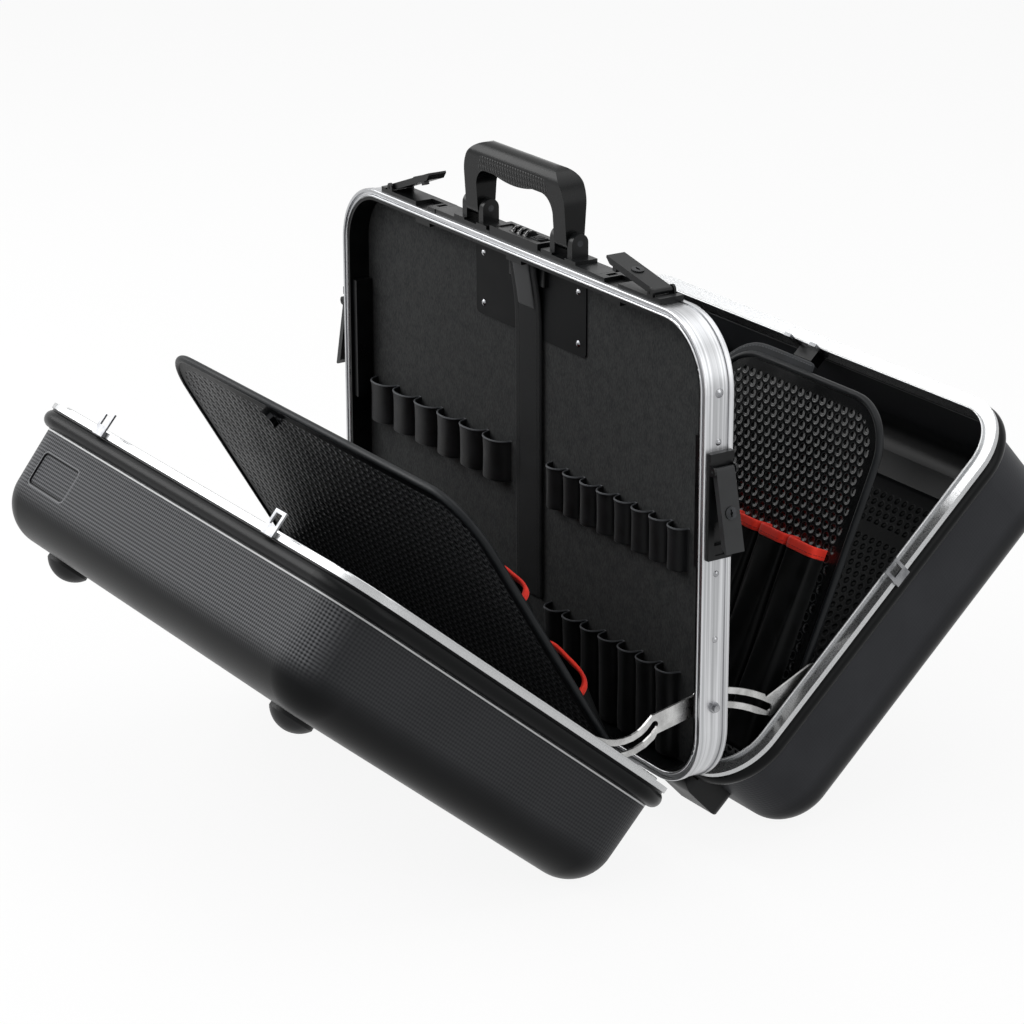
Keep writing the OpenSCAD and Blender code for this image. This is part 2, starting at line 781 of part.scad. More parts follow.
// Arched loops side by side, in the plane across the cloth; the chord lies on y = 0
module arches(count, pitch, rise, t) {
    half = pitch / 2 - seam_w / 2;
    r = (half * half + rise * rise) / (2 * rise);
    for (i = [0:count - 1])
        translate([(i + 0.5) * pitch, 0]) {
            intersection() {
                translate([0, rise - r]) difference() {
                    circle(r);
                    circle(r - t);
                }
                translate([-pitch, 0]) square([2 * pitch, rise + 1]);
            }
            for (s = [-1, 1])
                translate([s * half - seam_w / 2, 0]) square([seam_w, t]);
        }
}

module strip_of_arches(x0, top, h, count, pitch, rise, t) {
    translate([x0, top, 0]) rotate([90, 0, 0]) linear_extrude(h) arches(count, pitch, rise, t);
}

// Pockets: arched cloth with a floor at its lower end
module pockets(x0, top, h, count, pitch, rise) {
    strip_of_arches(x0, top, h, count, pitch, rise, cloth_t);
    translate([x0, top - h + cloth_t, 0]) rotate([90, 0, 0]) linear_extrude(cloth_t)
        domes(count, pitch, rise);
}

// The filled outlines of the arches
module domes(count, pitch, rise) {
    half = pitch / 2 - seam_w / 2;
    r = (half * half + rise * rise) / (2 * rise);
    for (i = [0:count - 1])
        translate([(i + 0.5) * pitch, 0]) {
            intersection() {
                translate([0, rise - r]) circle(r);
                translate([-pitch, 0]) square([2 * pitch, rise + 1]);
            }
            translate([-pitch / 2, 0]) square([pitch, cloth_t]);
        }
}

module wide_loops() {
    color("dimgray") on_panel()
        strip_of_arches(-loop_x - wide_count * wide_pitch, loop_top, loop_h, wide_count, wide_pitch,
            wide_rise, cloth_t);
}

module narrow_loops() {
    color("dimgray") on_panel()
        strip_of_arches(loop_x, loop_top, loop_h, narrow_count, narrow_pitch, narrow_rise, cloth_t);
}

module deep_pockets() {
    color("dimgray") on_panel()
        pockets(loop_x, deep_top, deep_top - deep_floor, deep_count, deep_pitch, deep_rise);
}

module panel_strap() {
    color("dimgray") on_panel() {
        translate([-strap_w / 2, strap_end, plate_t + 0.2]) cube([strap_w, plate_z + 19 - strap_end, strap_t]);
        translate([-strap_w / 2, strap_end, 0]) cube([strap_w, 6, plate_t + strap_t]);
    }
}

// Wall section of a shell: x outward from the outline, y is depth
module shell_profile(edge_r) {
    wall_end = shell_d - edge_r;
    arc_x = -wall_inset - drift(edge_r) - edge_r;
    translate([-wall_inset - shell_t, rim_t]) square([wall_inset + shell_t - rim_x0 - rim_t, bead_d]);
    intersection() {
        translate([-bead_r, bead_d + bead_r]) circle(bead_r);
        translate([-wall_inset - shell_t, bead_d]) square([wall_inset + shell_t, 2 * bead_r]);
    }
    translate([-wall_inset - shell_t, bead_d]) square([shell_t, 2 * bead_r]);
    polygon([[-wall_inset - shell_t, bead_end()], [-wall_inset, bead_end()],
        [arc_x + edge_r, wall_end], [arc_x + edge_r - shell_t, wall_end]]);
    translate([arc_x, wall_end]) intersection() {
        difference() {
            circle(edge_r);
            circle(edge_r - shell_t);
        }
        square([edge_r, edge_r]);
    }
    translate([-corner_r, shell_d - shell_t]) square([arc_x + corner_r + lap, shell_t]);
}

module shell(edge_r) {
    on_rim() {
        ring(case_w, case_h, corner_r) shell_profile(edge_r);
        translate([0, 0, shell_d - shell_t / 2])
            cube([case_w - 2 * corner_r, case_h - 2 * corner_r, shell_t], center = true);
    }
}

module front_shell() {
    color("#2a2c2e") front_side() difference() {
        shell(front_edge_r);
        label_recess();
    }
}

// Shallow recess for a label in the front shell's upper wall
module label_recess() {
    middle_d = 48;
    drop = wall_inset + (middle_d - bead_end()) * tan(wall_draft);
    translate([-label_x, -rim_y - middle_d, case_h - drop]) rotate([wall_draft, 0, 0])
        translate([0, 0, -label_cut]) linear_extrude(6) rounded(label_w, label_d, 4);
}

module rear_shell() { color("#2a2c2e") rear_side() shell(rear_edge_r); }

// Aluminium section that caps a shell's edge, with a lip that enters the frame
module rim_profile() {
    translate([-rim_in, 0]) square([rim_w, rim_t]);
    translate([-rim_x0 - rim_t, 0]) square([rim_t, bead_d]);
    translate([-rim_in, -lip_h + rim_t / 2]) square([rim_t, 14]);
    translate([-rim_in + rim_t / 2, -lip_h + rim_t / 2]) circle(rim_t / 2, $fn = 32);
}

module rim() {
    on_rim() ring(case_w, case_h, corner_r) rim_profile();
}

module front_rim() { color("silver") front_side() rim(); }
module rear_rim() { color("silver") rear_side() rim(); }

// Square loop lying along +y from its foot at y = 0, top face at z = hasp_t
module hasp_loop() {
    difference() {
        translate([-hasp_w / 2, -5, 0]) cube([hasp_w, 5 + hasp_w, hasp_t]);
        translate([-hasp_hole / 2, hasp_start(), -1]) cube([hasp_hole, hasp_hole, hasp_t + 2]);
    }
    translate([-hasp_w / 2, -5, -1.3]) cube([hasp_w, 4.6, 2]);
}

module front_hasps() {
    color("silver") front_side()
        for (s = [-1, 1])
            translate([s * (latch_x - hasp_x), -rim_y, case_h + fit]) hasp_loop();
}

module rear_hasps() {
    color("silver") rear_side() {
        for (s = [-1, 1])
            mirror([s > 0 ? 0 : 1, 0, 0])
                translate([half_w + fit, -rim_y, latch_z - hasp_x]) rotate([0, 90, 0]) hasp_loop();
        for (s = [-1, 1])
            translate([s * hook_x(), -rim_y, case_h - rim_in]) rear_hook();
    }
}

// Flat hook under the rim's inner leg, reaching into the frame, with a square eye
module rear_hook() {
    t = 1.2;
    reach = 9;
    difference() {
        translate([-4, -8, -t]) cube([8, 8 + reach, t]);
        translate([-2, reach - 5.4, -2 * t]) cube([4, 3.4, 3 * t]);
    }
    translate([-4, reach - 1.4, -t - 1.6]) cube([8, 1.4, 2]);
}

// What a rim carries: the stay's pins, the hinge leaves and the brackets of the tool board's hinge
module shell_fittings(pin_end, board_d, board_x0, board_half) {
    for (s = [-1, 1]) {
        mirror([s > 0 ? 0 : 1, 0, 0]) translate([pin_end, -rim_y - pin_d, pin_z]) rotate([0, 90, 0])
            cylinder(half_w - rim_in - pin_end, r = stud_r, $fn = 48);
        translate([s * hinge_x, -hinge_y, hinge_z]) shell_leaf();
        translate([board_x0 + s * board_half, -rim_y - board_d, board_hinge_z(board_d)]) board_bracket();
    }
}

// Two ears with a pin, standing on the shell's lower wall
module board_bracket() {
    ear_w = 3;
    seat = board_hinge_r + board_gap - board_hinge_r * tan(wall_draft);
    rotate([0, 90, 0]) cylinder(2 * (barrel_l / 2 + fit + ear_w), r = board_pin_r, center = true, $fn = 48);
    for (e = [-1, 1])
        translate([e * (barrel_l / 2 + fit + ear_w / 2), 0, 0]) rotate([90, 0, 90])
            linear_extrude(ear_w, center = true) {
                circle(board_hinge_r, $fn = 48);
                translate([-board_hinge_r, -seat]) square([2 * board_hinge_r, seat]);
            }
}

module front_shell_fittings() {
    color("gray") front_side()
        shell_fittings(rear_stay_x + stay_t + 0.4, front_board_d, 0, board_hinge_x);
}

module rear_shell_fittings() {
    color("gray") rear_side() {
        shell_fittings(rear_stay_x - 0.4, rear_board_d, rear_board_x, rear_hinge_x);
        for (s = [-1, 1])
            mirror([s > 0 ? 0 : 1, 0, 0]) translate([rear_stay_x - 1.6, -rim_y - pin_d, pin_z])
                rotate([0, 90, 0]) cylinder(1.3, r = 4.2, $fn = 48);
        translate([0, -rim_y - 9, case_h - rim_in - 5]) cube([22, 10, 10], center = true);
    }
}

// Round foot with a domed end, standing along local z
module round_foot() {
    dome = foot_h - 3;
    sphere_r = (foot_r * foot_r + dome * dome) / (2 * dome);
    cylinder(3, r = foot_r);
    intersection() {
        translate([0, 0, foot_h - sphere_r]) sphere(sphere_r);
        translate([0, 0, 3]) cylinder(foot_h, r = foot_r);
    }
}

module front_feet() {
    color("#202122") front_side() on_rim()
        for (s = [-1, 1])
            translate([s * foot_x, foot_z - case_h / 2, shell_d]) round_foot();
}

// Side outline of a foot under the closed case: x is depth below the rim plane, y is up
module base_foot_outline() {
    r = 9;
    start = bead_d + bead_r;
    stop = start + base_foot_l;
    wall_stop = wall_inset + (stop - bead_end()) * tan(wall_draft);
    polygon([[start, -fit], [start, r - base_foot_h], [start + r, -base_foot_h],
        [stop - r, -base_foot_h], [stop, r - base_foot_h], [stop, wall_stop],
        [bead_end(), wall_inset], [bead_end(), -fit]]);
    for (x = [start + r, stop - r])
        translate([x, r - base_foot_h]) intersection() {
            circle(r);
            translate([-r, -r]) square([2 * r, r]);
        }
}

// Foot on the shell's lower wall, rounded seen from below
module base_foot() {
    w = 38;
    middle = bead_d + bead_r + base_foot_l / 2;
    intersection() {
        rotate([90, 0, -90]) linear_extrude(w, center = true) base_foot_outline();
        translate([0, -middle, 0]) linear_extrude(80, center = true) rounded(w, base_foot_l, 8);
    }
}

module base_feet() {
    for (s = [-1, 1])
        translate([s * base_foot_x, -rim_y, 0]) base_foot();
}

module front_base_feet() { color("#202122") front_side() base_feet(); }
module rear_base_feet() { color("#202122") rear_side() base_feet(); }

module stay(slot) {
    eye = concat([[0, 0]], slot);
    linear_extrude(stay_t, center = true) difference() {
        band(eye, stay_r);
        band(slot, stud_r + 0.5);
        circle(stud_r + run, $fn = 48);
    }
}

// Turns a plane of (outward, up) into the case's right side at the given x
module across_at(x) {
    translate([x + stay_t / 2, 0, 0]) rotate([90, 0, 90]) children();
}

module front_stay() {
    stand() mirror([0, 1, 0]) across_at(front_stay_x) translate(stud_at())
        stay(front_slot());
}

module rear_stay() {
    stand() across_at(rear_stay_x) translate(pin_at(rear_open))
        stay(rear_slot());
}

module front_stay_right() { color("silver") front_stay(); }
module front_stay_left() { color("silver") mirror([1, 0, 0]) front_stay(); }
module rear_stay_right() { color("silver") rear_stay(); }
module rear_stay_left() { color("silver") mirror([1, 0, 0]) rear_stay(); }

// Board coordinates: local x, local y up the board from its hinge, local z toward the frame
module on_board(d, angle) {
    translate([0, -rim_y - d, board_hinge_z(d)]) rotate([90 - angle, 0, 0]) mirror([0, 0, 1]) children();
}
module on_front_board() { front_side() on_board(front_board_d, front_board_lift) children(); }
module on_rear_board() {
    rear_side() translate([rear_board_x, 0, 0]) on_board(rear_board_d, rear_board_lift) children();
}

// A flat board with two hinge barrels at its lower edge
module board(w, l, half) {
    difference() {
        union() {
            linear_extrude(board_t, center = true) translate([0, board_start])
                board_outline(w, l - board_start, board_r);
            for (s = [-1, 1])
                translate([s * half, 0, 0]) {
                    rotate([0, 90, 0]) cylinder(barrel_l, r = board_hinge_r, center = true);
                    translate([0, board_hinge_r, 0]) cube([barrel_l, 4, board_t], center = true);
                }
        }
        rotate([0, 90, 0]) cylinder(w + 2, r = board_pin_r + run, center = true, $fn = 48);
    }
}

// Round piping along the sides and the top of a board
module piping(w, l) {
    start = board_start + board_low_r + 1;
    for (s = [-1, 1]) {
        translate([s * w / 2, start, 0]) rotate([-90, 0, 0])
            cylinder(l - board_r - start, r = piping_r, $fn = 32);
        translate([s * (w / 2 - board_r), l - board_r, 0]) mirror([s > 0 ? 0 : 1, 0, 0])
            rotate_extrude(angle = 90) translate([board_r, 0]) circle(piping_r, $fn = 32);
    }
    translate([0, l, 0]) rotate([0, 90, 0])
        cylinder(w - 2 * board_r, r = piping_r, center = true, $fn = 32);
}

module piping_of(w, l) {
    difference() {
        piping(w, l);
        linear_extrude(board_t, center = true) translate([0, board_start])
            board_outline(w, l - board_start, board_r);
    }
}

module front_board() {
    color("#1c1d1e") on_front_board() {
        board(front_board_w, front_board_l, board_hinge_x);
        translate([knob_x, front_board_l - knob_end, -board_t / 2 - 4]) cylinder(4, r = 8, $fn = 48);
    }
}

module front_board_piping() {
    color("#18191a") on_front_board() piping_of(front_board_w, front_board_l);
}

module rear_board() { color("#1c1d1e") on_rear_board() board(rear_board_w, rear_board_l, rear_hinge_x); }
module rear_board_piping() {
    color("#18191a") on_rear_board() piping_of(rear_board_w, rear_board_l);
}

// Empty pockets side by side on the front board, lying nearly flat: upper edge, height and bulge
module pleats(top, h, rise) {
    translate([-front_count * board_pitch / 2, top, board_t / 2]) rotate([90, 0, 0]) linear_extrude(h)
        domes(front_count, board_pitch, rise);
}

module front_board_pockets() {
    color("#202122") on_front_board()
        for (row = front_rows)
            pleats(row[0] - binding_h, row[1] - binding_h, row[2]);
}

module front_board_binding() {
    color("#d8281c") on_front_board()
        for (row = front_rows)
            pleats(row[0], binding_h, row[2] + binding_t);
}

module rear_board_pockets() {
    color("#202122") on_rear_board() translate([0, 0, board_t / 2])
        pockets(-rear_count * board_pitch / 2, rear_top - binding_h, rear_pocket_l - binding_h,
            rear_count, board_pitch, rear_rise);
}

module rear_board_binding() {
    color("#d8281c") on_rear_board() translate([0, 0, board_t / 2])
        strip_of_arches(-rear_count * board_pitch / 2, rear_top, binding_h, rear_count, board_pitch,
            rear_rise + binding_t, cloth_t + 2 * binding_t);
}

// Flat strap that loops round the rear board's inner upper corner, behind the board
module rear_board_strap() {
    out = 10;
    wide = 8;
    side_l = 70;
    top_l = 60;
    r = board_r + out;
    color("#2c2d2f") on_rear_board() translate([0, 0, -piping_r - fit - strap_t]) linear_extrude(strap_t) {
        translate([-rear_board_w / 2 + board_r, rear_board_l - board_r]) intersection() {
            difference() {
                circle(r);
                circle(r - wide - out);
            }
            translate([-r, 0]) square([r, r]);
        }
        translate([-rear_board_w / 2 - out, rear_board_l - board_r - side_l]) square([wide + out, side_l]);
        translate([-rear_board_w / 2 + board_r, rear_board_l - wide]) square([top_l, wide + out]);
    }
}

// Padded sheet lying on the inner face of the rear shell
module rear_pad() {
    pad_t = 4;
    margin = 55;
    color("#1c1d1e") rear_side() on_rim() translate([0, 0, shell_d - shell_t - pad_t])
        linear_extrude(pad_t) rounded(case_w - 2 * margin, case_h - 2 * margin, 30);
}

frame_strip();
frame_liner();
centre_panel();
panel_plate();
panel_rivets();
frame_rivets();
stay_studs();
frame_hinge_leaves();
hinge_pins();
lock_strip();
lock_body();
lock_axle();
dial_1();
dial_2();
dial_3();
release_button();
handle();
handle_pins();
latch_base_top_right();
latch_base_top_left();
latch_base_side_right();
latch_base_side_left();
lever_top_right();
lever_top_left();
lever_side_right();
lever_side_left();
key_top_right();
key_top_left();
key_side_right();
key_side_left();
latch_keepers();
panel_strap();
wide_loops();
narrow_loops();
deep_pockets();
front_shell();
front_rim();
front_hasps();
front_shell_fittings();
front_feet();
front_base_feet();
front_stay_right();
front_stay_left();
front_board();
front_board_piping();
front_board_pockets();
front_board_binding();
rear_shell();
rear_rim();
rear_hasps();
rear_shell_fittings();
rear_base_feet();
rear_stay_right();
rear_stay_left();
rear_board();
rear_board_piping();
rear_board_pockets();
rear_board_binding();
rear_board_strap();
rear_pad();
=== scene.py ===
"""Looks of the open two-shell tool case: materials for the hard parts, and the sewn and printed pieces."""

import json
import math

import bmesh
import bpy
from mathutils import Matrix, Vector


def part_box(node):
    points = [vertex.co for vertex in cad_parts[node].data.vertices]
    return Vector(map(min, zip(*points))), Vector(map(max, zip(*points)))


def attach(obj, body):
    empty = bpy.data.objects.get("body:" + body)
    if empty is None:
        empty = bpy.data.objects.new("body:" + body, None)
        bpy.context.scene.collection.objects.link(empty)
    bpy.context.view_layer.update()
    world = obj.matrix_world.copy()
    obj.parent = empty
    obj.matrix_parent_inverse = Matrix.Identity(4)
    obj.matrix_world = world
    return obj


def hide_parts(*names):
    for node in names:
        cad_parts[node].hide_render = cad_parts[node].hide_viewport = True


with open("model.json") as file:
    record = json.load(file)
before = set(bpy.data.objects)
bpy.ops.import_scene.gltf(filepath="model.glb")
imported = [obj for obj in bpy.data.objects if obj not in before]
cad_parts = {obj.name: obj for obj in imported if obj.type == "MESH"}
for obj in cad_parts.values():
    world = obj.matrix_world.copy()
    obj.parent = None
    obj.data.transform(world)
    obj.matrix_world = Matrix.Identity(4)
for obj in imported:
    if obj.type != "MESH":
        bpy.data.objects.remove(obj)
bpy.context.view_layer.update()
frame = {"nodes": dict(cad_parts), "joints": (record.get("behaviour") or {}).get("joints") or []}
nodes = frame["nodes"]
ranges = {joint["name"]: joint.get("range_deg") for joint in frame["joints"]}
strip_low, strip_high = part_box("frame_strip")

# Sizes of the case in millimetres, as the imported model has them
MM = 0.001
CASE_W = 488
CASE_H = 350
FRAME_D = 24.5
LIFT = strip_low[2] / MM
SHIFT_Y = (strip_low[1] + strip_high[1]) / 2 / MM
FRONT_OPEN = -ranges["front_shell_hinge"][0]
REAR_OPEN = -ranges["rear_shell_hinge"][0]
SEAM = 0.4
RIM_Y = FRAME_D / 2 + SEAM
HINGE_Y = FRAME_D / 2 + SEAM / 2
HINGE_Z = -5
SHELL_D = 96.7
SHELL_T = 3
WALL_INSET = 8
WALL_DRAFT = 2.2
BEAD_END = 18
STRIP_TOP = CASE_H - 0.8
PANEL_Y = 6.3
DIAL_PITCH = 8
DIAL_R = 5.8
DIAL_Z = 6.3
BOARD_HINGE_R = 4
BOARD_GAP = 1
BOARD_START = 4.5
BOARD_T = 3
BOARD_R = 42
BOARD_LOW_R = 12
PIPING_R = 3
FRONT_BOARD_W = 430
FRONT_BOARD_L = 292
FRONT_BOARD_DEPTH = 17
FRONT_BOARD_LEAN = 19.5
REAR_BOARD_W = 202
REAR_BOARD_L = 296
REAR_BOARD_X = 118
REAR_BOARD_DEPTH = 46
REAR_BOARD_LEAN = 24.5

# Sizes of the sewn pieces in millimetres
CLOTH_T = 1.4
SEAM_W = 3
BINDING_H = 8
BOARD_PITCH = 34
SLUMP_REACH = 1.4 * BOARD_PITCH


def shifted(x, y, z):
    """A move without a turn."""
    return Matrix.Translation((x, y, z))


def turned(angle, axis):
    """A turn in degrees about an axis through the origin."""
    return Matrix.Rotation(math.radians(angle), 4, axis)


def inner_height(depth):
    """Height of a shell's inner face at a depth, on the closed case."""
    return WALL_INSET + SHELL_T + max(0, depth - BEAD_END) * math.tan(math.radians(WALL_DRAFT))


# Places in millimetres: the closed case's coordinates, and those of each piece that carries others
STAND = shifted(0, SHIFT_Y, LIFT)
ON_TOP = STAND @ shifted(0, 0, STRIP_TOP)
ON_PANEL = STAND @ shifted(0, PANEL_Y, 0) @ turned(90, "X")
FRONT_SIDE = STAND @ shifted(0, -HINGE_Y, HINGE_Z) @ turned(FRONT_OPEN, "X") @ shifted(0, HINGE_Y, -HINGE_Z)
REAR_SIDE = (
    STAND @ shifted(0, HINGE_Y, HINGE_Z) @ turned(-REAR_OPEN, "X") @ shifted(0, -HINGE_Y, -HINGE_Z)
    @ Matrix.Scale(-1, 4, (0, 1, 0))
)


def on_board(depth, lean):
    """Board coordinates: x across, y up from the hinge, z toward the frame."""
    height = inner_height(depth) + BOARD_HINGE_R + BOARD_GAP
    return shifted(0, -RIM_Y - depth, height) @ turned(90 - lean, "X") @ Matrix.Scale(-1, 4, (0, 0, 1))


FRONT_BOARD = FRONT_SIDE @ on_board(FRONT_BOARD_DEPTH, FRONT_BOARD_LEAN)
REAR_BOARD = REAR_SIDE @ shifted(REAR_BOARD_X, 0, 0) @ on_board(REAR_BOARD_DEPTH, REAR_BOARD_LEAN)
# Inner face of the rear shell: x across, y up from the middle of the case, z is depth below the rim
REAR_FLOOR = REAR_SIDE @ shifted(0, -RIM_Y, CASE_H / 2) @ turned(90, "X")

# Camera at the photograph's viewpoint, found from the case's own corners and edges
LOOK = Vector((-17.2, SHIFT_Y, 136.3 + LIFT)) * MM
AZIMUTH = math.radians(57.2)
ELEVATION = math.radians(19.73)
ROLL = math.radians(-0.14)
DISTANCE = 2.6207
FOCAL_PX = 3474.6
PHOTO_PX = 1024
SENSOR_MM = 36
back = Vector((
    math.sin(AZIMUTH) * math.cos(ELEVATION),
    -math.cos(AZIMUTH) * math.cos(ELEVATION),
    math.sin(ELEVATION),
))
lens = bpy.data.cameras.new("camera")
lens.sensor_width = SENSOR_MM
lens.lens = FOCAL_PX / PHOTO_PX * SENSOR_MM
lens.clip_end = 50
camera = bpy.data.objects.new("camera", lens)
bpy.context.scene.collection.objects.link(camera)
camera.rotation_mode = "QUATERNION"
camera.rotation_quaternion = (-back).to_track_quat("-Z", "Y") @ Matrix.Rotation(ROLL, 3, "Z").to_quaternion()
camera.location = LOOK + back * DISTANCE
bpy.context.scene.camera = camera

# Material tools. A Mix node's settings for colours, and its sockets for the colour under and the colour over
TWO_COLOURS = {"data_type": "RGBA", "output": 2}
UNDER = 6
OVER = 7


def colour(text):
    """An sRGB hex colour as linear red, green, blue and alpha."""
    parts = [int(text[i : i + 2], 16) / 255 for i in (1, 3, 5)]
    return [c / 12.92 if c <= 0.04045 else ((c + 0.055) / 1.055) ** 2.4 for c in parts] + [1.0]


def add(tree, kind, *inputs, named=None, output=0, **settings):
    """Adds a node with its settings, sets or links its inputs in order or by name, and gives one output."""
    node = tree.nodes.new("ShaderNode" + kind)
    for key, value in settings.items():
        setattr(node, key, value)
    for key, value in [*enumerate(inputs), *(named or {}).items()]:
        if isinstance(value, bpy.types.NodeSocket):
            tree.links.new(value, node.inputs[key])
        else:
            node.inputs[key].default_value = value
    return node.outputs[output]


def grain(tree, place, size_mm, detail=3.0, stretch=(1, 1, 1)):
    """Noise with features of a real size in millimetres; a stretched axis has finer features."""
    mapped = add(tree, "Mapping", named={"Vector": place, "Scale": stretch})
    return add(tree, "TexNoise", named={"Vector": mapped, "Scale": 1000 / size_mm, "Detail": detail})


def mottled(tree, pattern, low, high, dark, light):
    """A tone that goes from a dark to a light colour as a pattern goes from low to high."""
    share = add(tree, "MapRange", pattern, low, high)
    return add(tree, "Mix", named={"Factor": share, UNDER: colour(dark), OVER: colour(light)}, **TWO_COLOURS)


def apart(tree, value, other):
    """How far a value is from another one."""
    return add(tree, "Math", add(tree, "Math", value, other, operation="SUBTRACT"), operation="ABSOLUTE")


def line_at(tree, value, at, core, edge):
    """1 where a value is within core of a place, and 0 where it is edge away."""
    return add(tree, "MapRange", apart(tree, value, at), core, edge, 1.0, 0.0)


def wave(tree, value, pitch):
    """A sine wave along a value, one turn each pitch."""
    angle = add(tree, "Math", value, 2 * math.pi / pitch, operation="MULTIPLY")
    return add(tree, "Math", angle, operation="SINE")


def diagonal(tree, a, b):
    """Distance from the origin to (a, b)."""
    b_squared = add(tree, "Math", b, b, operation="MULTIPLY")
    squared = add(tree, "Math", a, a, b_squared, operation="MULTIPLY_ADD")
    return add(tree, "Math", squared, operation="SQRT")


def any_ray(tree, *kinds):
    """1 where a ray is of one of the kinds named."""
    found = 0.0
    for kind in kinds:
        found = add(tree, "Math", found, add(tree, "LightPath", output=kind), operation="MAXIMUM")
    return found


def finish_of(name, metallic=0.0, gloss=0.5, sheen=0.0):
    """A new material: itself, its tree, its surface shader and the object's coordinates."""
    material = bpy.data.materials.new(name)
    material.use_nodes = True
    tree = material.node_tree
    shader = tree.nodes["Principled BSDF"]
    shader.inputs["Metallic"].default_value = metallic
    shader.inputs["Specular IOR Level"].default_value = gloss
    shader.inputs["Sheen Weight"].default_value = sheen
    place = add(tree, "TexCoord", output="Object")
    return material, tree, shader, place


def dress(tree, shader, base, rough, height=None, depth_mm=0.1, strength=1.0):
    """Links colour, roughness and relief to the surface shader."""
    tree.links.new(base, shader.inputs["Base Color"])
    tree.links.new(rough, shader.inputs["Roughness"])
    if height is not None:
        relief = add(tree, "Bump", named={"Height": height, "Strength": strength, "Distance": depth_mm * MM})
        tree.links.new(relief, shader.inputs["Normal"])


def local(tree, place, matrix):
    """The object's coordinates in millimetres, in the coordinates of one of the places above."""
    out = []
    for axis in matrix.to_3x3().inverted():
        along = add(tree, "VectorMath", place, axis / MM, output="Value", operation="DOT_PRODUCT")
        out.append(add(tree, "Math", along, axis.dot(matrix.translation), operation="SUBTRACT"))
    return out


def hex_distance(tree, u, v, pitch):
    """Distance in millimetres from the nearest point of a staggered pattern."""
    rows = pitch * math.sqrt(3)
    found = []
    for shift in (0, 0.5):
        moved_u = add(tree, "Math", u, shift * pitch, operation="ADD")
        moved_v = add(tree, "Math", v, shift * rows, operation="ADD")
        a = add(tree, "Math", moved_u, pitch / 2, -pitch / 2, operation="WRAP")
        b = add(tree, "Math", moved_v, rows / 2, -rows / 2, operation="WRAP")
        found.append(diagonal(tree, a, b))
    return add(tree, "Math", *found, operation="MINIMUM")


def inside_distance(tree, u, v, centre, half, radius):
    """How far inside a rounded rectangle a point is, in millimetres."""
    past = []
    for value, middle, reach in zip((u, v), centre, half):
        past.append(add(tree, "Math", apart(tree, value, middle), reach - radius, operation="SUBTRACT"))
    corner = diagonal(tree, *[add(tree, "Math", side, 0.0, operation="MAXIMUM") for side in past])
    farther = add(tree, "Math", *past, operation="MAXIMUM")
    edge = add(tree, "Math", farther, 0.0, operation="MINIMUM")
    outside = add(tree, "Math", corner, edge, operation="ADD")
    return add(tree, "Math", radius, outside, operation="SUBTRACT")


# Moulded ABS: satin charcoal walls with a fine linen of crossing ribs, painted highlights on the ribs'
# crests, smooth edges painted darker as shade, and a glossy bead.
# The ribs are set a little wider than the real ones so that they show
RIB_PITCH = 2.6
LINEN_FADE = (62, 78)
EDGE_FADE = (64, 84)


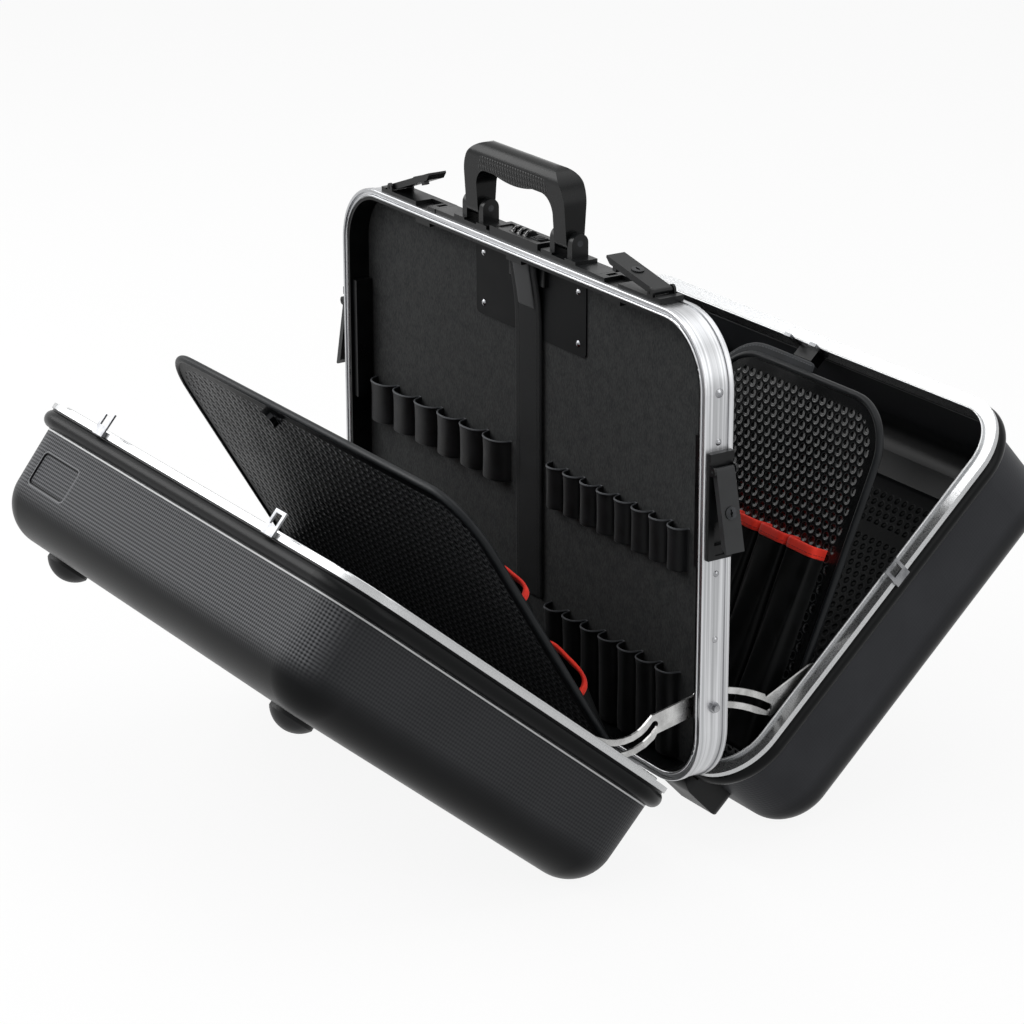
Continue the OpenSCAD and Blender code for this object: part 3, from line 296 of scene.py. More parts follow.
def shell_abs(name, side, dark, light, relief, label=None):
    """A shell's plastic; the label is the centre, half size and corner radius of a shallow recess."""
    material, tree, shader, place = finish_of(name, gloss=0.09)
    x, y, z = local(tree, place, side)
    depth = add(tree, "Math", -RIM_Y, y, operation="SUBTRACT")
    facing = add(tree, "SeparateXYZ", place.node.outputs["Normal"], output="X")
    on_end = add(tree, "MapRange", add(tree, "Math", facing, operation="ABSOLUTE"), 0.55, 0.85)
    past_bead = add(tree, "MapRange", depth, BEAD_END + 2, BEAD_END + 3)
    before_edge = add(tree, "MapRange", depth, *LINEN_FADE, 1.0, 0.0)
    on_wall = add(tree, "Math", past_bead, before_edge, operation="MULTIPLY")
    # The ribs run round the shell and over it, and are fainter on its ends
    ribs_round, ribs_long, ribs_end = [wave(tree, value, RIB_PITCH) for value in (depth, x, z)]
    change = add(tree, "Math", ribs_end, ribs_long, operation="SUBTRACT")
    ribs_over = add(tree, "Math", change, on_end, ribs_long, operation="MULTIPLY_ADD")
    crossed = add(tree, "Math", ribs_over, 0.7, ribs_round, operation="MULTIPLY_ADD")
    linen = add(tree, "Math", crossed, on_wall, operation="MULTIPLY")
    lower = add(tree, "Math", on_end, -0.6, 1.0, operation="MULTIPLY_ADD")
    linen = add(tree, "Math", linen, lower, operation="MULTIPLY")
    fine = add(tree, "Math", grain(tree, place, 0.7), 0.12, operation="MULTIPLY")
    height = add(tree, "Math", linen, relief, fine, operation="MULTIPLY_ADD")
    broad = grain(tree, place, 60)
    tone = mottled(tree, broad, 0.35, 0.65, dark, light)
    # Painted highlight: the ribs' crests are painted pale, fainter on the shell's ends
    painted_crest_highlight = add(tree, "MapRange", linen, -1.2, 1.2)
    paler = add(tree, "Math", on_end, -0.72, 1.0, operation="MULTIPLY_ADD")
    seen = add(tree, "Math", on_wall, paler, operation="MULTIPLY")
    painted_crest_highlight = add(tree, "Math", painted_crest_highlight, seen, operation="MULTIPLY")
    painted_crest_highlight = add(tree, "Math", painted_crest_highlight, relief, operation="MULTIPLY")
    tone = add(tree, "Mix", named={"Factor": painted_crest_highlight, UNDER: tone, OVER: colour("#7e7f82")}, **TWO_COLOURS)
    # The black bead keeps its own dark tone; past the linen, the smooth edges are painted dark as shade
    on_bead = add(tree, "MapRange", depth, BEAD_END - 1, BEAD_END + 1, 1.0, 0.0)
    on_edge = add(tree, "MapRange", depth, *EDGE_FADE)
    smooth = add(tree, "Math", on_bead, on_edge, operation="MAXIMUM")
    tone = add(tree, "Mix", named={"Factor": smooth, UNDER: tone, OVER: colour("#0b0c0d")}, **TWO_COLOURS)
    # Painted highlight: a pale line along the step under the bead
    painted_step_highlight = line_at(tree, depth, BEAD_END + 1.2, 0.4, 0.8)
    painted_step_highlight = add(tree, "Math", painted_step_highlight, 0.35 + relief, operation="MULTIPLY")
    tone = add(tree, "Mix", named={"Factor": painted_step_highlight, UNDER: tone, OVER: colour("#d4d5d6")}, **TWO_COLOURS)
    if label is not None:
        inner = inside_distance(tree, x, depth, *label)
        sunk = add(tree, "MapRange", inner, -1.0, 1.2, 0.0, 3.0, interpolation_type="SMOOTHSTEP")
        height = add(tree, "Math", height, sunk, operation="SUBTRACT")
        # A painted highlight line round the recess, and a painted shade line inside it
        painted_recess_highlight = line_at(tree, inner, -1.0, 0.2, 0.7)
        painted_recess_shade = line_at(tree, inner, 0.5, 0.3, 0.9)
        tone = add(tree, "Mix", named={"Factor": painted_recess_highlight, UNDER: tone, OVER: colour("#77787a")}, **TWO_COLOURS)
        tone = add(tree, "Mix", named={"Factor": painted_recess_shade, UNDER: tone, OVER: colour("#0a0b0c")}, **TWO_COLOURS)
    satin = add(tree, "MapRange", broad, 0.3, 0.7, 0.44, 0.48)
    polish = add(tree, "Math", smooth, 0.14, operation="MULTIPLY")
    dress(tree, shader, tone, add(tree, "Math", satin, polish, operation="SUBTRACT"), height, 0.3)
    return material


# Brushed aluminium: fine bright and dull streaks along the strip
def brushed_aluminium(name, light, dark, size_mm, stretch, rough, relief):
    material, tree, shader, place = finish_of(name, metallic=1.0)
    streak = grain(tree, place, size_mm, 4.0, stretch)
    fine = grain(tree, place, size_mm / 2, 3.0, stretch)
    tone = mottled(tree, streak, 0.4, 0.6, dark, light)
    uneven = add(tree, "MapRange", fine, 0.35, 0.65, rough - 0.08, rough + 0.1)
    dress(tree, shader, tone, uneven, streak, 0.05, relief)
    return material


# Plated steel: bright, with faint clouding and polishing marks
def plated_steel(name, light, dark, rough):
    material, tree, shader, place = finish_of(name, metallic=1.0)
    cloud = grain(tree, place, 9)
    marks = grain(tree, place, 1.2, 2.0)
    tone = mottled(tree, cloud, 0.35, 0.65, dark, light)
    uneven = add(tree, "MapRange", marks, 0.3, 0.7, rough - 0.06, rough + 0.08)
    dress(tree, shader, tone, uneven, marks, 0.01, 0.4)
    return material


# Moulded or painted black parts: an even satin skin with fine grain and slightly worn high spots
def satin_black(name, dark, light, rough, gloss, grain_mm=0.6, depth_mm=0.03):
    material, tree, shader, place = finish_of(name, gloss=gloss)
    fine = grain(tree, place, grain_mm)
    broad = grain(tree, place, 25)
    tone = mottled(tree, broad, 0.35, 0.7, dark, light)
    uneven = add(tree, "MapRange", broad, 0.3, 0.7, rough - 0.06, rough + 0.06)
    dress(tree, shader, tone, uneven, fine, depth_mm)
    return material


# Soft PVC: black with a satin sheen, and a tread of short raised ribs on the grip, painted darker as shade
# between the ribs and paler as highlight on them
TREAD = ((0, 51), (46, 8), 6)
TREAD_PITCH = 3.4


def grip_pvc():
    material, tree, shader, place = finish_of("handle_soft_pvc", gloss=0.15)
    x, _, z = local(tree, place, ON_TOP)
    field = add(tree, "MapRange", inside_distance(tree, x, z, *TREAD), 0.0, 1.2)
    slanted = add(tree, "Math", z, 0.5, x, operation="MULTIPLY_ADD")
    longer = add(tree, "Math", z, 0.7, operation="MULTIPLY")
    away = hex_distance(tree, slanted, longer, TREAD_PITCH)
    rib_and_highlight = add(tree, "MapRange", away, 0.5, 1.3, 1.0, 0.0, interpolation_type="SMOOTHSTEP")
    rib_and_highlight = add(tree, "Math", rib_and_highlight, field, operation="MULTIPLY")
    fine = grain(tree, place, 0.7)
    cloud = grain(tree, place, 25)
    tone = mottled(tree, cloud, 0.35, 0.7, "#060707", "#0c0d0e")
    # Painted shade over the tread's field, and a painted highlight on its ribs
    tone = add(tree, "Mix", named={"Factor": field, UNDER: tone, OVER: colour("#030303")}, **TWO_COLOURS)
    tone = add(tree, "Mix", named={"Factor": rib_and_highlight, UNDER: tone, OVER: colour("#202122")}, **TWO_COLOURS)
    uneven = add(tree, "MapRange", cloud, 0.3, 0.7, 0.2, 0.3)
    dress(tree, shader, tone, uneven, add(tree, "Math", fine, 0.06, rib_and_highlight, operation="MULTIPLY_ADD"), 0.5)
    return material


# Needle felt on a board: dull dark grey with short fibres and soft mottling
def needle_felt():
    material, tree, shader, place = finish_of("needle_felt", gloss=0.1, sheen=0.03)
    fibre = grain(tree, place, 1.1, 4.0, (1.0, 1.0, 0.45))
    mottle = grain(tree, place, 9, 4.0)
    mottle_part = add(tree, "Math", mottle, 0.4, operation="MULTIPLY")
    mixed = add(tree, "Math", fibre, 0.6, mottle_part, operation="MULTIPLY_ADD")
    tone = mottled(tree, mixed, 0.38, 0.62, "#252627", "#363737")
    uneven = add(tree, "MapRange", mottle, 0.3, 0.7, 0.85, 0.95)
    dress(tree, shader, tone, uneven, fibre, 0.25)
    return material


# Pressed vinyl: black, with staggered round dimples, each ringed by a painted highlight and painted darker in
# its hollow as shade, and a smooth border
DIMPLE_PITCH = 8.6


def dimpled_vinyl(name, matrix, outline, border, gloss, ring, band=None):
    """Dimples inside an outline (centre, half size, corner radius), but for a band (place, half width); ring
    is the colour of the painted highlight round each dimple.
    """
    material, tree, shader, place = finish_of(name, gloss=gloss)
    u, v, _ = local(tree, place, matrix)
    field = add(tree, "MapRange", inside_distance(tree, u, v, *outline), border - 1, border + 1)
    if band is not None:
        beside = add(tree, "MapRange", apart(tree, v, band[0]), band[1], band[1] + 1.5)
        field = add(tree, "Math", field, beside, operation="MULTIPLY")
    away = hex_distance(tree, u, v, DIMPLE_PITCH)
    dimple_and_shade = add(tree, "MapRange", away, 0.12 * DIMPLE_PITCH, 0.4 * DIMPLE_PITCH, 1.0, 0.0,
        interpolation_type="SMOOTHSTEP")
    dimple_and_shade = add(tree, "Math", dimple_and_shade, field, operation="MULTIPLY")
    # Painted highlight: a pale ring round each dimple
    painted_lip_highlight = line_at(tree, away, 0.36 * DIMPLE_PITCH, 0.03 * DIMPLE_PITCH, 0.1 * DIMPLE_PITCH)
    painted_lip_highlight = add(tree, "Math", painted_lip_highlight, field, operation="MULTIPLY")
    fine = add(tree, "Math", grain(tree, place, 0.5, 2.0), 0.03, operation="MULTIPLY")
    height = add(tree, "Math", fine, dimple_and_shade, operation="SUBTRACT")
    painted_lip_tones = {"Factor": painted_lip_highlight, UNDER: colour("#0b0c0d"), OVER: colour(ring)}
    tone = add(tree, "Mix", named=painted_lip_tones, **TWO_COLOURS)
    # Painted shade: the dimples' hollows are painted darker
    tone = add(tree, "Mix", named={"Factor": dimple_and_shade, UNDER: tone, OVER: colour("#030404")}, **TWO_COLOURS)
    cloud = grain(tree, place, 40)
    uneven = add(tree, "MapRange", cloud, 0.3, 0.7, 0.32 - 0.3 * gloss, 0.42 - 0.3 * gloss)
    dress(tree, shader, tone, uneven, height, 1.1)
    return material


# Woven and coated bands: softly shining, with a fine weave, rows of stitches, and on some a painted highlight
# along the upper hem.
# The weave is coarser than the real one so that it shows
WEAVE_PITCH = 1.3
STITCH_PITCH = 3.4
HEM_HIGHLIGHT_W = 1.4


def stitched(tree, across, length, at_mm):
    """1 on the threads of a row of stitches, along a line at a distance across the cloth."""
    line = line_at(tree, across, at_mm * MM, 0.25 * MM, 0.5 * MM)
    count = add(tree, "Math", length, STITCH_PITCH * MM, operation="DIVIDE")
    step = add(tree, "Math", count, operation="FRACT")
    thread = add(tree, "MapRange", step, 0.66, 0.74, 1.0, 0.0)
    return add(tree, "Math", line, thread, operation="MULTIPLY")


def sewn_band(name, dark, light, rough, gloss, sheen=0.03, thread=None, stitches=(), runs="down", hem_highlight=False):
    """A band's cloth; stitches are distances across it, of rows that run down it or along it."""
    material, tree, shader, place = finish_of(name, gloss=gloss, sheen=sheen)
    along, down = [add(tree, "Attribute", output="Fac", attribute_name=layer) for layer in ("along", "down")]
    across, length = (down, along) if runs == "along" else (along, down)
    warp = wave(tree, along, WEAVE_PITCH * MM)
    weft = wave(tree, down, WEAVE_PITCH * MM)
    weave = add(tree, "Math", warp, weft, operation="MULTIPLY")
    cloud = grain(tree, place, 14)
    tone = mottled(tree, cloud, 0.35, 0.65, dark, light)
    fine = add(tree, "Math", grain(tree, place, 0.8), 0.3, operation="MULTIPLY")
    height = add(tree, "Math", weave, 0.12, fine, operation="MULTIPLY_ADD")
    for at_mm in stitches:
        sewn = stitched(tree, across, length, at_mm)
        tone = add(tree, "Mix", named={"Factor": sewn, UNDER: tone, OVER: colour(thread)}, **TWO_COLOURS)
        raised = add(tree, "Math", sewn, 0.8, operation="MULTIPLY")
        height = add(tree, "Math", height, raised, operation="ADD")
    # Painted highlight: a light line along the upper hem, in the thread's colour
    if hem_highlight:
        painted_hem_highlight = add(tree, "MapRange", down, (HEM_HIGHLIGHT_W - 0.3) * MM, HEM_HIGHLIGHT_W * MM, 1.0, 0.0)
        tone = add(tree, "Mix", named={"Factor": painted_hem_highlight, UNDER: tone, OVER: colour(thread)}, **TWO_COLOURS)
    uneven = add(tree, "MapRange", cloud, 0.3, 0.7, rough - 0.06, rough + 0.08)
    dress(tree, shader, tone, uneven, height, 0.25)
    return material


# Screen print: the dials' figures in a smooth, bright white
def figure_print():
    material, tree, shader, place = finish_of("figure_paint")
    speck = grain(tree, place, 0.4)
    tone = mottled(tree, speck, 0.3, 0.7, "#e4e4e2", "#f6f6f4")
    dress(tree, shader, tone, add(tree, "MapRange", speck, 0.3, 0.7, 0.5, 0.6))
    return material


# The front shell's ribs stand out, and it has a recess for a label; the rear shell is nearly smooth
LABEL = ((-163, 48), (28, 13), 4)
front_abs = shell_abs("moulded_abs_front", FRONT_SIDE, "#151618", "#1b1c1e", relief=0.6, label=LABEL)
rear_abs = shell_abs("moulded_abs_rear", REAR_SIDE, "#27282b", "#2d2e31", relief=0.07)
# Aluminium strip of the frame: long streaks round it, bright and dull
strip_aluminium = brushed_aluminium("brushed_aluminium_strip", "#cdced0", "#a6a7a9",
    size_mm=24, stretch=(0.12, 14, 0.12), rough=0.38, relief=0.6)
# Aluminium rims of the shells: an even satin without a grain to follow
rim_aluminium = brushed_aluminium("satin_aluminium_rim", "#b9babb", "#b3b4b5",
    size_mm=1.2, stretch=(1, 1, 1), rough=0.3, relief=0.1)
# Zinc plate on rivets, studs, pins and hinge leaves: cool and bright
bright_steel = plated_steel("zinc_plated_steel", "#a5a6a8", "#7e7f82", rough=0.24)
# Nickel plate on the hasps: a darker metal that still flashes
hasp_steel = plated_steel("hasp_nickel_steel", "#8c8d8f", "#6a6b6e", rough=0.26)
# Black nickel on lock cylinders and handle pins: nearly black, with a metal's highlight
key_metal = plated_steel("key_black_nickel", "#3d3e40", "#2a2b2c", rough=0.3)
# Satin nickel on the stays: pale, warm and soft
stay_nickel = plated_steel("satin_nickel_steel", "#c4c4c3", "#a3a3a2", rough=0.3)
# Vinyl liner of the frame: smooth black
liner_pvc = satin_black("liner_pvc", "#08090a", "#0f1011", rough=0.32, gloss=0.15)
# Polypropylene plate on the panel: dull black with a moulded grain
plate_pp = satin_black(
    "plate_polypropylene", "#0c0d0e", "#121314", rough=0.5, gloss=0.06, grain_mm=0.9, depth_mm=0.05)
# Baked enamel: even and half glossy on lock, latch bases and fittings, a lighter and duller grey on the side
# levers, and a soft black on the top ones
ENAMEL = {"gloss": 0.2, "grain_mm": 0.5, "depth_mm": 0.02}
latch_paint = satin_black("latch_black_enamel", "#0b0c0d", "#131415", rough=0.32, **ENAMEL)
lever_paint = satin_black("lever_grey_enamel", "#272829", "#303132", rough=0.44, **ENAMEL)
lever_black = satin_black("lever_black_enamel", "#101112", "#18191a", rough=0.36, **ENAMEL)
# ABS of the dials: smooth black under the white figures
dial_abs = satin_black("dial_abs", "#0c0d0e", "#141516", rough=0.3, gloss=0.2)
handle_pvc = grip_pvc()
# Moulded rubber feet: dull black with a coarser grain
foot_rubber = satin_black(
    "foot_rubber", "#0b0c0d", "#121314", rough=0.42, gloss=0.2, grain_mm=0.8, depth_mm=0.05)
# Vinyl piping: black, with a soft light along its round top
piping_vinyl = satin_black("piping_vinyl", "#131517", "#1b1d1f", rough=0.42, gloss=0.15, depth_mm=0.04)
# Vinyl patch on the strap: dark grey and dull beside the webbing
patch_vinyl = satin_black(
    "strap_patch_vinyl", "#343536", "#3e3f40", rough=0.5, gloss=0.12, grain_mm=0.9, depth_mm=0.04)
felt = needle_felt()
figures = figure_print()


def board_outline(width, length):
    """Centre, half size and corner radius of a tool board's face."""
    return (0, (length + BOARD_START) / 2), (width / 2, (length - BOARD_START) / 2), BOARD_R


# Dimpled faces: pale painted highlight rings on the front board, a shine on the rear one, and a smooth band
# across the dark pad
BOARD_BORDER = 10
PAD_MARGIN = 55
PAD_HALF = (CASE_W / 2 - PAD_MARGIN, CASE_H / 2 - PAD_MARGIN)
PAD_R = 30
PAD_BORDER = 12
PAD_BAND = (75, 5)
front_outline = board_outline(FRONT_BOARD_W, FRONT_BOARD_L)
rear_outline = board_outline(REAR_BOARD_W, REAR_BOARD_L)
pad_outline = ((0, 0), PAD_HALF, PAD_R)
front_vinyl = dimpled_vinyl(
    "dimpled_vinyl_front_board", FRONT_BOARD, front_outline, BOARD_BORDER, gloss=0.05, ring="#58595b")
rear_vinyl = dimpled_vinyl(
    "dimpled_vinyl_rear_board", REAR_BOARD, rear_outline, BOARD_BORDER, gloss=0.5, ring="#2b2c2d")
pad_vinyl = dimpled_vinyl(
    "dimpled_vinyl_pad", REAR_FLOOR, pad_outline, PAD_BORDER, gloss=0.03, ring="#242526", band=PAD_BAND)

# Knitted elastic of the loops: black, with a painted highlight along its upper hem
loop_elastic = sewn_band(
    "loop_elastic", "#0a0b0c", "#121315", rough=0.5, gloss=0.16, thread="#4b4d50", hem_highlight=True)
# Coated polyester of the panel's pockets: a deeper black and a little smoother, with a painted highlight
# along its upper hem
pocket_cloth = sewn_band(
    "pocket_polyester", "#08090a", "#0f1011", rough=0.46, gloss=0.14, thread="#45474a", hem_highlight=True)
# Coated polyester of the boards' pockets: nearly black, without a painted hem highlight of its own
board_cloth = sewn_band("board_pocket_polyester", "#060707", "#0c0d0e", rough=0.5, gloss=0.1, sheen=0.0)
# Webbing of the panel's strap: dull, with two dark rows of stitches at each edge
strap_webbing = sewn_band("strap_webbing", "#141516", "#1c1d1e", rough=0.6, gloss=0.08,
    thread="#060707", stitches=(2.4, 6.2, 29.8, 33.6))
# Vinyl of the corner strap: dark grey with a pale seam at each edge
corner_vinyl = sewn_band("corner_strap_vinyl", "#26282a", "#333538", rough=0.5, gloss=0.15,
    thread="#5a5c5f", stitches=(2.4, 15.6))
# Woven binding tape: bright red and soft, with one darker seam along it
red_tape = sewn_band("binding_tape", "#cf2418", "#e3321f", rough=0.6, gloss=0.25, sheen=0.1,
    thread="#a31a10", stitches=(5.4,), runs="along")

finishes = {
    front_abs: ["front_shell"],
    rear_abs: ["rear_shell"],
    strip_aluminium: ["frame_strip"],
    rim_aluminium: ["front_rim", "rear_rim"],
    bright_steel: [
        "panel_rivets", "frame_rivets", "stay_studs", "hinge_pins", "lock_axle", "frame_hinge_leaves",
    ],
    hasp_steel: ["front_hasps", "rear_hasps"],
    key_metal: ["handle_pins", "key_top_right", "key_top_left", "key_side_right", "key_side_left"],
    stay_nickel: ["front_stay_right", "front_stay_left", "rear_stay_right", "rear_stay_left"],
    liner_pvc: ["frame_liner", "latch_keepers"],
    felt: ["centre_panel"],
    plate_pp: ["panel_plate"],
    latch_paint: [
        "lock_strip", "lock_body", "latch_base_top_right", "latch_base_top_left", "latch_base_side_right",
        "latch_base_side_left", "front_shell_fittings", "rear_shell_fittings",
    ],
    lever_paint: ["lever_side_right", "lever_side_left", "release_button"],
    lever_black: ["lever_top_right", "lever_top_left"],
    dial_abs: ["dial_1", "dial_2", "dial_3"],
    handle_pvc: ["handle"],
    foot_rubber: ["front_feet", "front_base_feet", "rear_base_feet"],
    front_vinyl: ["front_board"],
    rear_vinyl: ["rear_board"],
}
for material, names in finishes.items():
    for name in names:
        nodes[name].data.materials.clear()
        nodes[name].data.materials.append(material)


# Mesh tools
def settle(bm, name, place, body, material, replaced=(), smooth=True):
    """Puts a mesh drawn in millimetres at its place in the case, as a piece that rides on a body."""
    bm.transform(Matrix.Scale(MM, 4) @ place)
    if place.determinant() < 0:
        bmesh.ops.reverse_faces(bm, faces=bm.faces)
    mesh = bpy.data.meshes.new(name)
    bm.to_mesh(mesh)
    bm.free()
    for face in mesh.polygons:
        face.use_smooth = smooth
    piece = bpy.data.objects.new(name, mesh)
    bpy.context.scene.collection.objects.link(piece)
    mesh.materials.append(material)
    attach(piece, body)
    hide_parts(*replaced)
    return piece


def thicken(piece, thickness):
    """Gives a thin piece its thickness, inwards from its face."""
    solid = piece.modifiers.new("thickness", "SOLIDIFY")
    solid.thickness = thickness * MM
    solid.offset = -1.0
    return piece


def soften(piece):
    """Rounds a piece by one step of subdivision."""
    soft = piece.modifiers.new("soft", "SUBSURF")
    soft.levels = 1
    soft.render_levels = 1
    return piece


def pull_edges(bm, edges):
    """Extrudes edges, and gives the new points and the new edges between them."""
    made = bmesh.ops.extrude_edge_only(bm, edges=edges)["geom"]
    fresh = {part for part in made if isinstance(part, bmesh.types.BMVert)}
    far = [part for part in made if isinstance(part, bmesh.types.BMEdge) and set(part.verts) <= fresh]
    return fresh, far


def pull_rows(bm, line, rows, at):
    """Extrudes a line of points row by row, and gives its length. at(column, row) places each point, a row's
    first number is its distance down, and each point keeps how far along and down it is."""
    column = bm.verts.layers.int.new("column")
    along = bm.verts.layers.float.new("along")
    down = bm.verts.layers.float.new("down")
    reach = 0.0
    verts = []
    for i in range(len(line)):
        point = bm.verts.new(at(i, rows[0]))
        point[column] = i
        if i:
            reach += math.dist(line[i - 1][:2], line[i][:2])
        point[along] = reach * MM
        point[down] = rows[0][0] * MM
        verts.append(point)
    edges = [bm.edges.new(pair) for pair in zip(verts, verts[1:])]
    for row in rows[1:]:
        fresh, edges = pull_edges(bm, edges)
        for point in fresh:
            point.co = at(point[column], row)
            point[down] = row[0] * MM
    return reach


def bulges(count, pitch, rise, power, sag=0.0, points=12):
    """A line of (x, z, normal x, normal z) over loops side by side: flat seams, and bulges between them.
    A higher power makes them squarer, and sag is how far their middle hangs in, as a share of the rise."""
    half = (pitch - SEAM_W) / 2
    line = []
    for i in range(count):
        middle = (i + 0.5) * pitch
        line.append((middle - pitch / 2, 0.0))
        for k in range(points + 1):
            turn = math.pi * (k / points - 0.5)
            across = math.copysign(abs(math.sin(turn)) ** (2 / power), turn)
            up = math.cos(turn) ** (2 / power)
            dip = sag * math.cos(math.pi / 2 * min(1, abs(across) / 0.75)) ** 2
            line.append((middle + half * across, rise * up * (1 - dip)))
    line.append((count * pitch, 0.0))
    out = []
    for i, (x, z) in enumerate(line):
        before = line[max(i - 1, 0)]
        after = line[min(i + 1, len(line) - 1)]
        run = Vector((after[0] - before[0], after[1] - before[1])).normalized()
        out.append((x, z, -run.y, run.x))
    return out


def sewn_row(name, place, body, material, replaced, left, top, line, rows,
        ripple=0.0, thickness=CLOTH_T, slump=None):
    """Cloth over a line of bulges; each row is (distance down, share of the bulge, distance off the line).
    With a slump (fall, height), the openings of the outermost pockets hang lower."""

    def at(i, row):
        x, z, nx, nz = line[i]
        down, share, off = row
        folds = ripple * min(1, z / 6) * math.sin(x * 0.9 + 0.05 * down) * math.sin(0.021 * down + 0.4)
        uneven = 1 + 0.03 * math.sin(0.11 * x + 0.03 * down)
        fall = 0.0
        if slump:
            outer = max(0.0, abs(left + x) + left + SLUMP_REACH) / SLUMP_REACH
            fall = slump[0] * outer ** 1.6 * (1 - down / slump[1])
        return (left + x + nx * off, top - down - fall, z * share * uneven + nz * off + folds)

    bm = bmesh.new()
    reach = pull_rows(bm, line, rows, at)
    bmesh.ops.recalc_face_normals(bm, faces=bm.faces)
    piece = settle(bm, name, place, body, material, replaced)
    if piece.data.polygons[0].normal.dot(place.to_3x3() @ Vector((0, 0, 1))) < 0:
        piece.data.flip_normals()
    soften(thicken(piece, thickness))
    height = sum(math.dist(a[::2], b[::2]) for a, b in zip(rows, rows[1:]))


def fall_rows(height, folds):
    """Rows down a loop or pocket, which draws in a little towards its middle."""
    steps = max(2, round(height / 12))
    shares = [k / steps for k in range(1, steps)]
    return [(height * share, 1.0 - folds * 0.1 * math.sin(math.pi * share), 0.0) for share in shares]


# Elastic loops and pockets sewn on the panel, to the left and the right of its strap
ROWS_X = 27
LOOPS_TOP = 189
LOOP_H = 33
WIDE_COUNT = 6
WIDE_PITCH = 33
NARROW_COUNT = 8
NARROW_PITCH = 22
hem_rows = [(0.0, 1.04, 0.5), (1.8, 1.03, 0.5), (2.3, 1.0, 0.0)]
loop_rows = hem_rows + fall_rows(LOOP_H - 4, 0.4) + [(LOOP_H - 2, 1.0, 0.0), (LOOP_H, 1.02, 0.0)]
wide_line = bulges(WIDE_COUNT, WIDE_PITCH, rise=11.4, power=2.3)
sewn_row("wide_elastic_loops", ON_PANEL, "frame", loop_elastic, ["wide_loops"],
    -ROWS_X - WIDE_COUNT * WIDE_PITCH, LOOPS_TOP, wide_line, loop_rows)
narrow_line = bulges(NARROW_COUNT, NARROW_PITCH, rise=9.4, power=2.2)
sewn_row("narrow_elastic_loops", ON_PANEL, "frame", loop_elastic, ["narrow_loops"],
    ROWS_X, LOOPS_TOP, narrow_line, loop_rows)
DEEP_TOP = 78
DEEP_H = 67
DEEP_COUNT = 7
DEEP_PITCH = 24
deep_foot = [(DEEP_H - 3, 0.95, 0.0), (DEEP_H - 1, 0.85, 0.0), (DEEP_H, 0.5, 0.0), (DEEP_H, 0.05, 0.0)]
deep_line = bulges(DEEP_COUNT, DEEP_PITCH, rise=11.4, power=2.4)
deep_rows = hem_rows + fall_rows(DEEP_H - 5, 0.5) + deep_foot
sewn_row("deep_panel_pockets", ON_PANEL, "frame", pocket_cloth, ["deep_pockets"],
    ROWS_X, DEEP_TOP, deep_line, deep_rows, ripple=0.35)

# Red tape folded over the upper edge of the boards' pockets: down the front, over the edge and down behind
TAPE_T = 0.7
TAPE_OVER = 0.5
TAPE_FRONT = 0.95
TAPE_BEHIND = -CLOTH_T - 0.7
tape_path = [
    (BINDING_H, TAPE_FRONT), (BINDING_H / 2, TAPE_FRONT), (0.8, TAPE_FRONT), (-0.2, TAPE_FRONT / 2),
    (-0.5, -0.6), (0.0, -CLOTH_T - 0.5), (BINDING_H / 2, TAPE_BEHIND), (BINDING_H, TAPE_BEHIND),
]
tape_rows = [(down, 1.0, off) for down, off in tape_path]


def board_pockets(board, ending, face, count, top, line, rows, ripple, slump=None, replacing=True):
    """A row of pockets across the front or the rear board, and the tape over their upper edge."""
    body = board + "_board_body"
    left = -count * BOARD_PITCH / 2
    cloth_for = [board + "_board_pockets"] if replacing else []
    tape_for = [board + "_board_binding"] if replacing else []
    sewn_row(board + "_pocket_cloth" + ending, face, body, board_cloth, cloth_for,
        left, top - TAPE_OVER, line, rows, ripple=ripple, slump=slump)
    sewn_row(board + "_pocket_tape" + ending, face, body, red_tape, tape_for,
        left, top, line, tape_rows,
        thickness=TAPE_T, slump=slump)


# Pockets of the rear board, hanging open under the red tape
REAR_COUNT = 5
REAR_TOP = 184
rear_face = REAR_BOARD @ shifted(0, 0, BOARD_T / 2)
rear_line = bulges(REAR_COUNT, BOARD_PITCH, rise=13, power=5.5, sag=0.04, points=16)
rear_foot = [(156.0, 0.85, 0.0), (158.4, 0.7, 0.0), (159.4, 0.4, 0.0), (159.4, 0.04, 0.0)]
rear_rows = [(0.0, 1.0, 0.0), (8.0, 1.0, 0.0)] + fall_rows(153, 0.6) + rear_foot
board_pockets("rear", "", rear_face, REAR_COUNT, REAR_TOP, rear_line, rear_rows, 0.7)

# Two rows of gaping pockets on the front board: name's ending, top, height, rise, and fall at the outer ends
FRONT_COUNT = 12
FRONT_ROWS = (("_upper", 215, 60, 14, 20), ("_lower", 142, 112, 17, 42))
front_face = FRONT_BOARD @ shifted(0, 0, BOARD_T / 2)
for ending, top, height, rise, fall in FRONT_ROWS:
    line = bulges(FRONT_COUNT, BOARD_PITCH, rise, power=3.0, sag=0.06, points=14)
    rows = [(0.0, 1.0, 0.0), (7.5, 0.97, 0.0)]
    rows += [(height * k / 8, 1 - 0.55 * math.sin(math.pi / 2 * k / 8), 0.0) for k in range(2, 8)]
    rows += [(height - 2, 0.4, 0.0), (height - 1, 0.2, 0.0), (height - 1, 0.04, 0.0)]
    board_pockets("front", ending, front_face, FRONT_COUNT, top, line, rows, 0.4,
        slump=(fall, height), replacing=ending == "_upper")

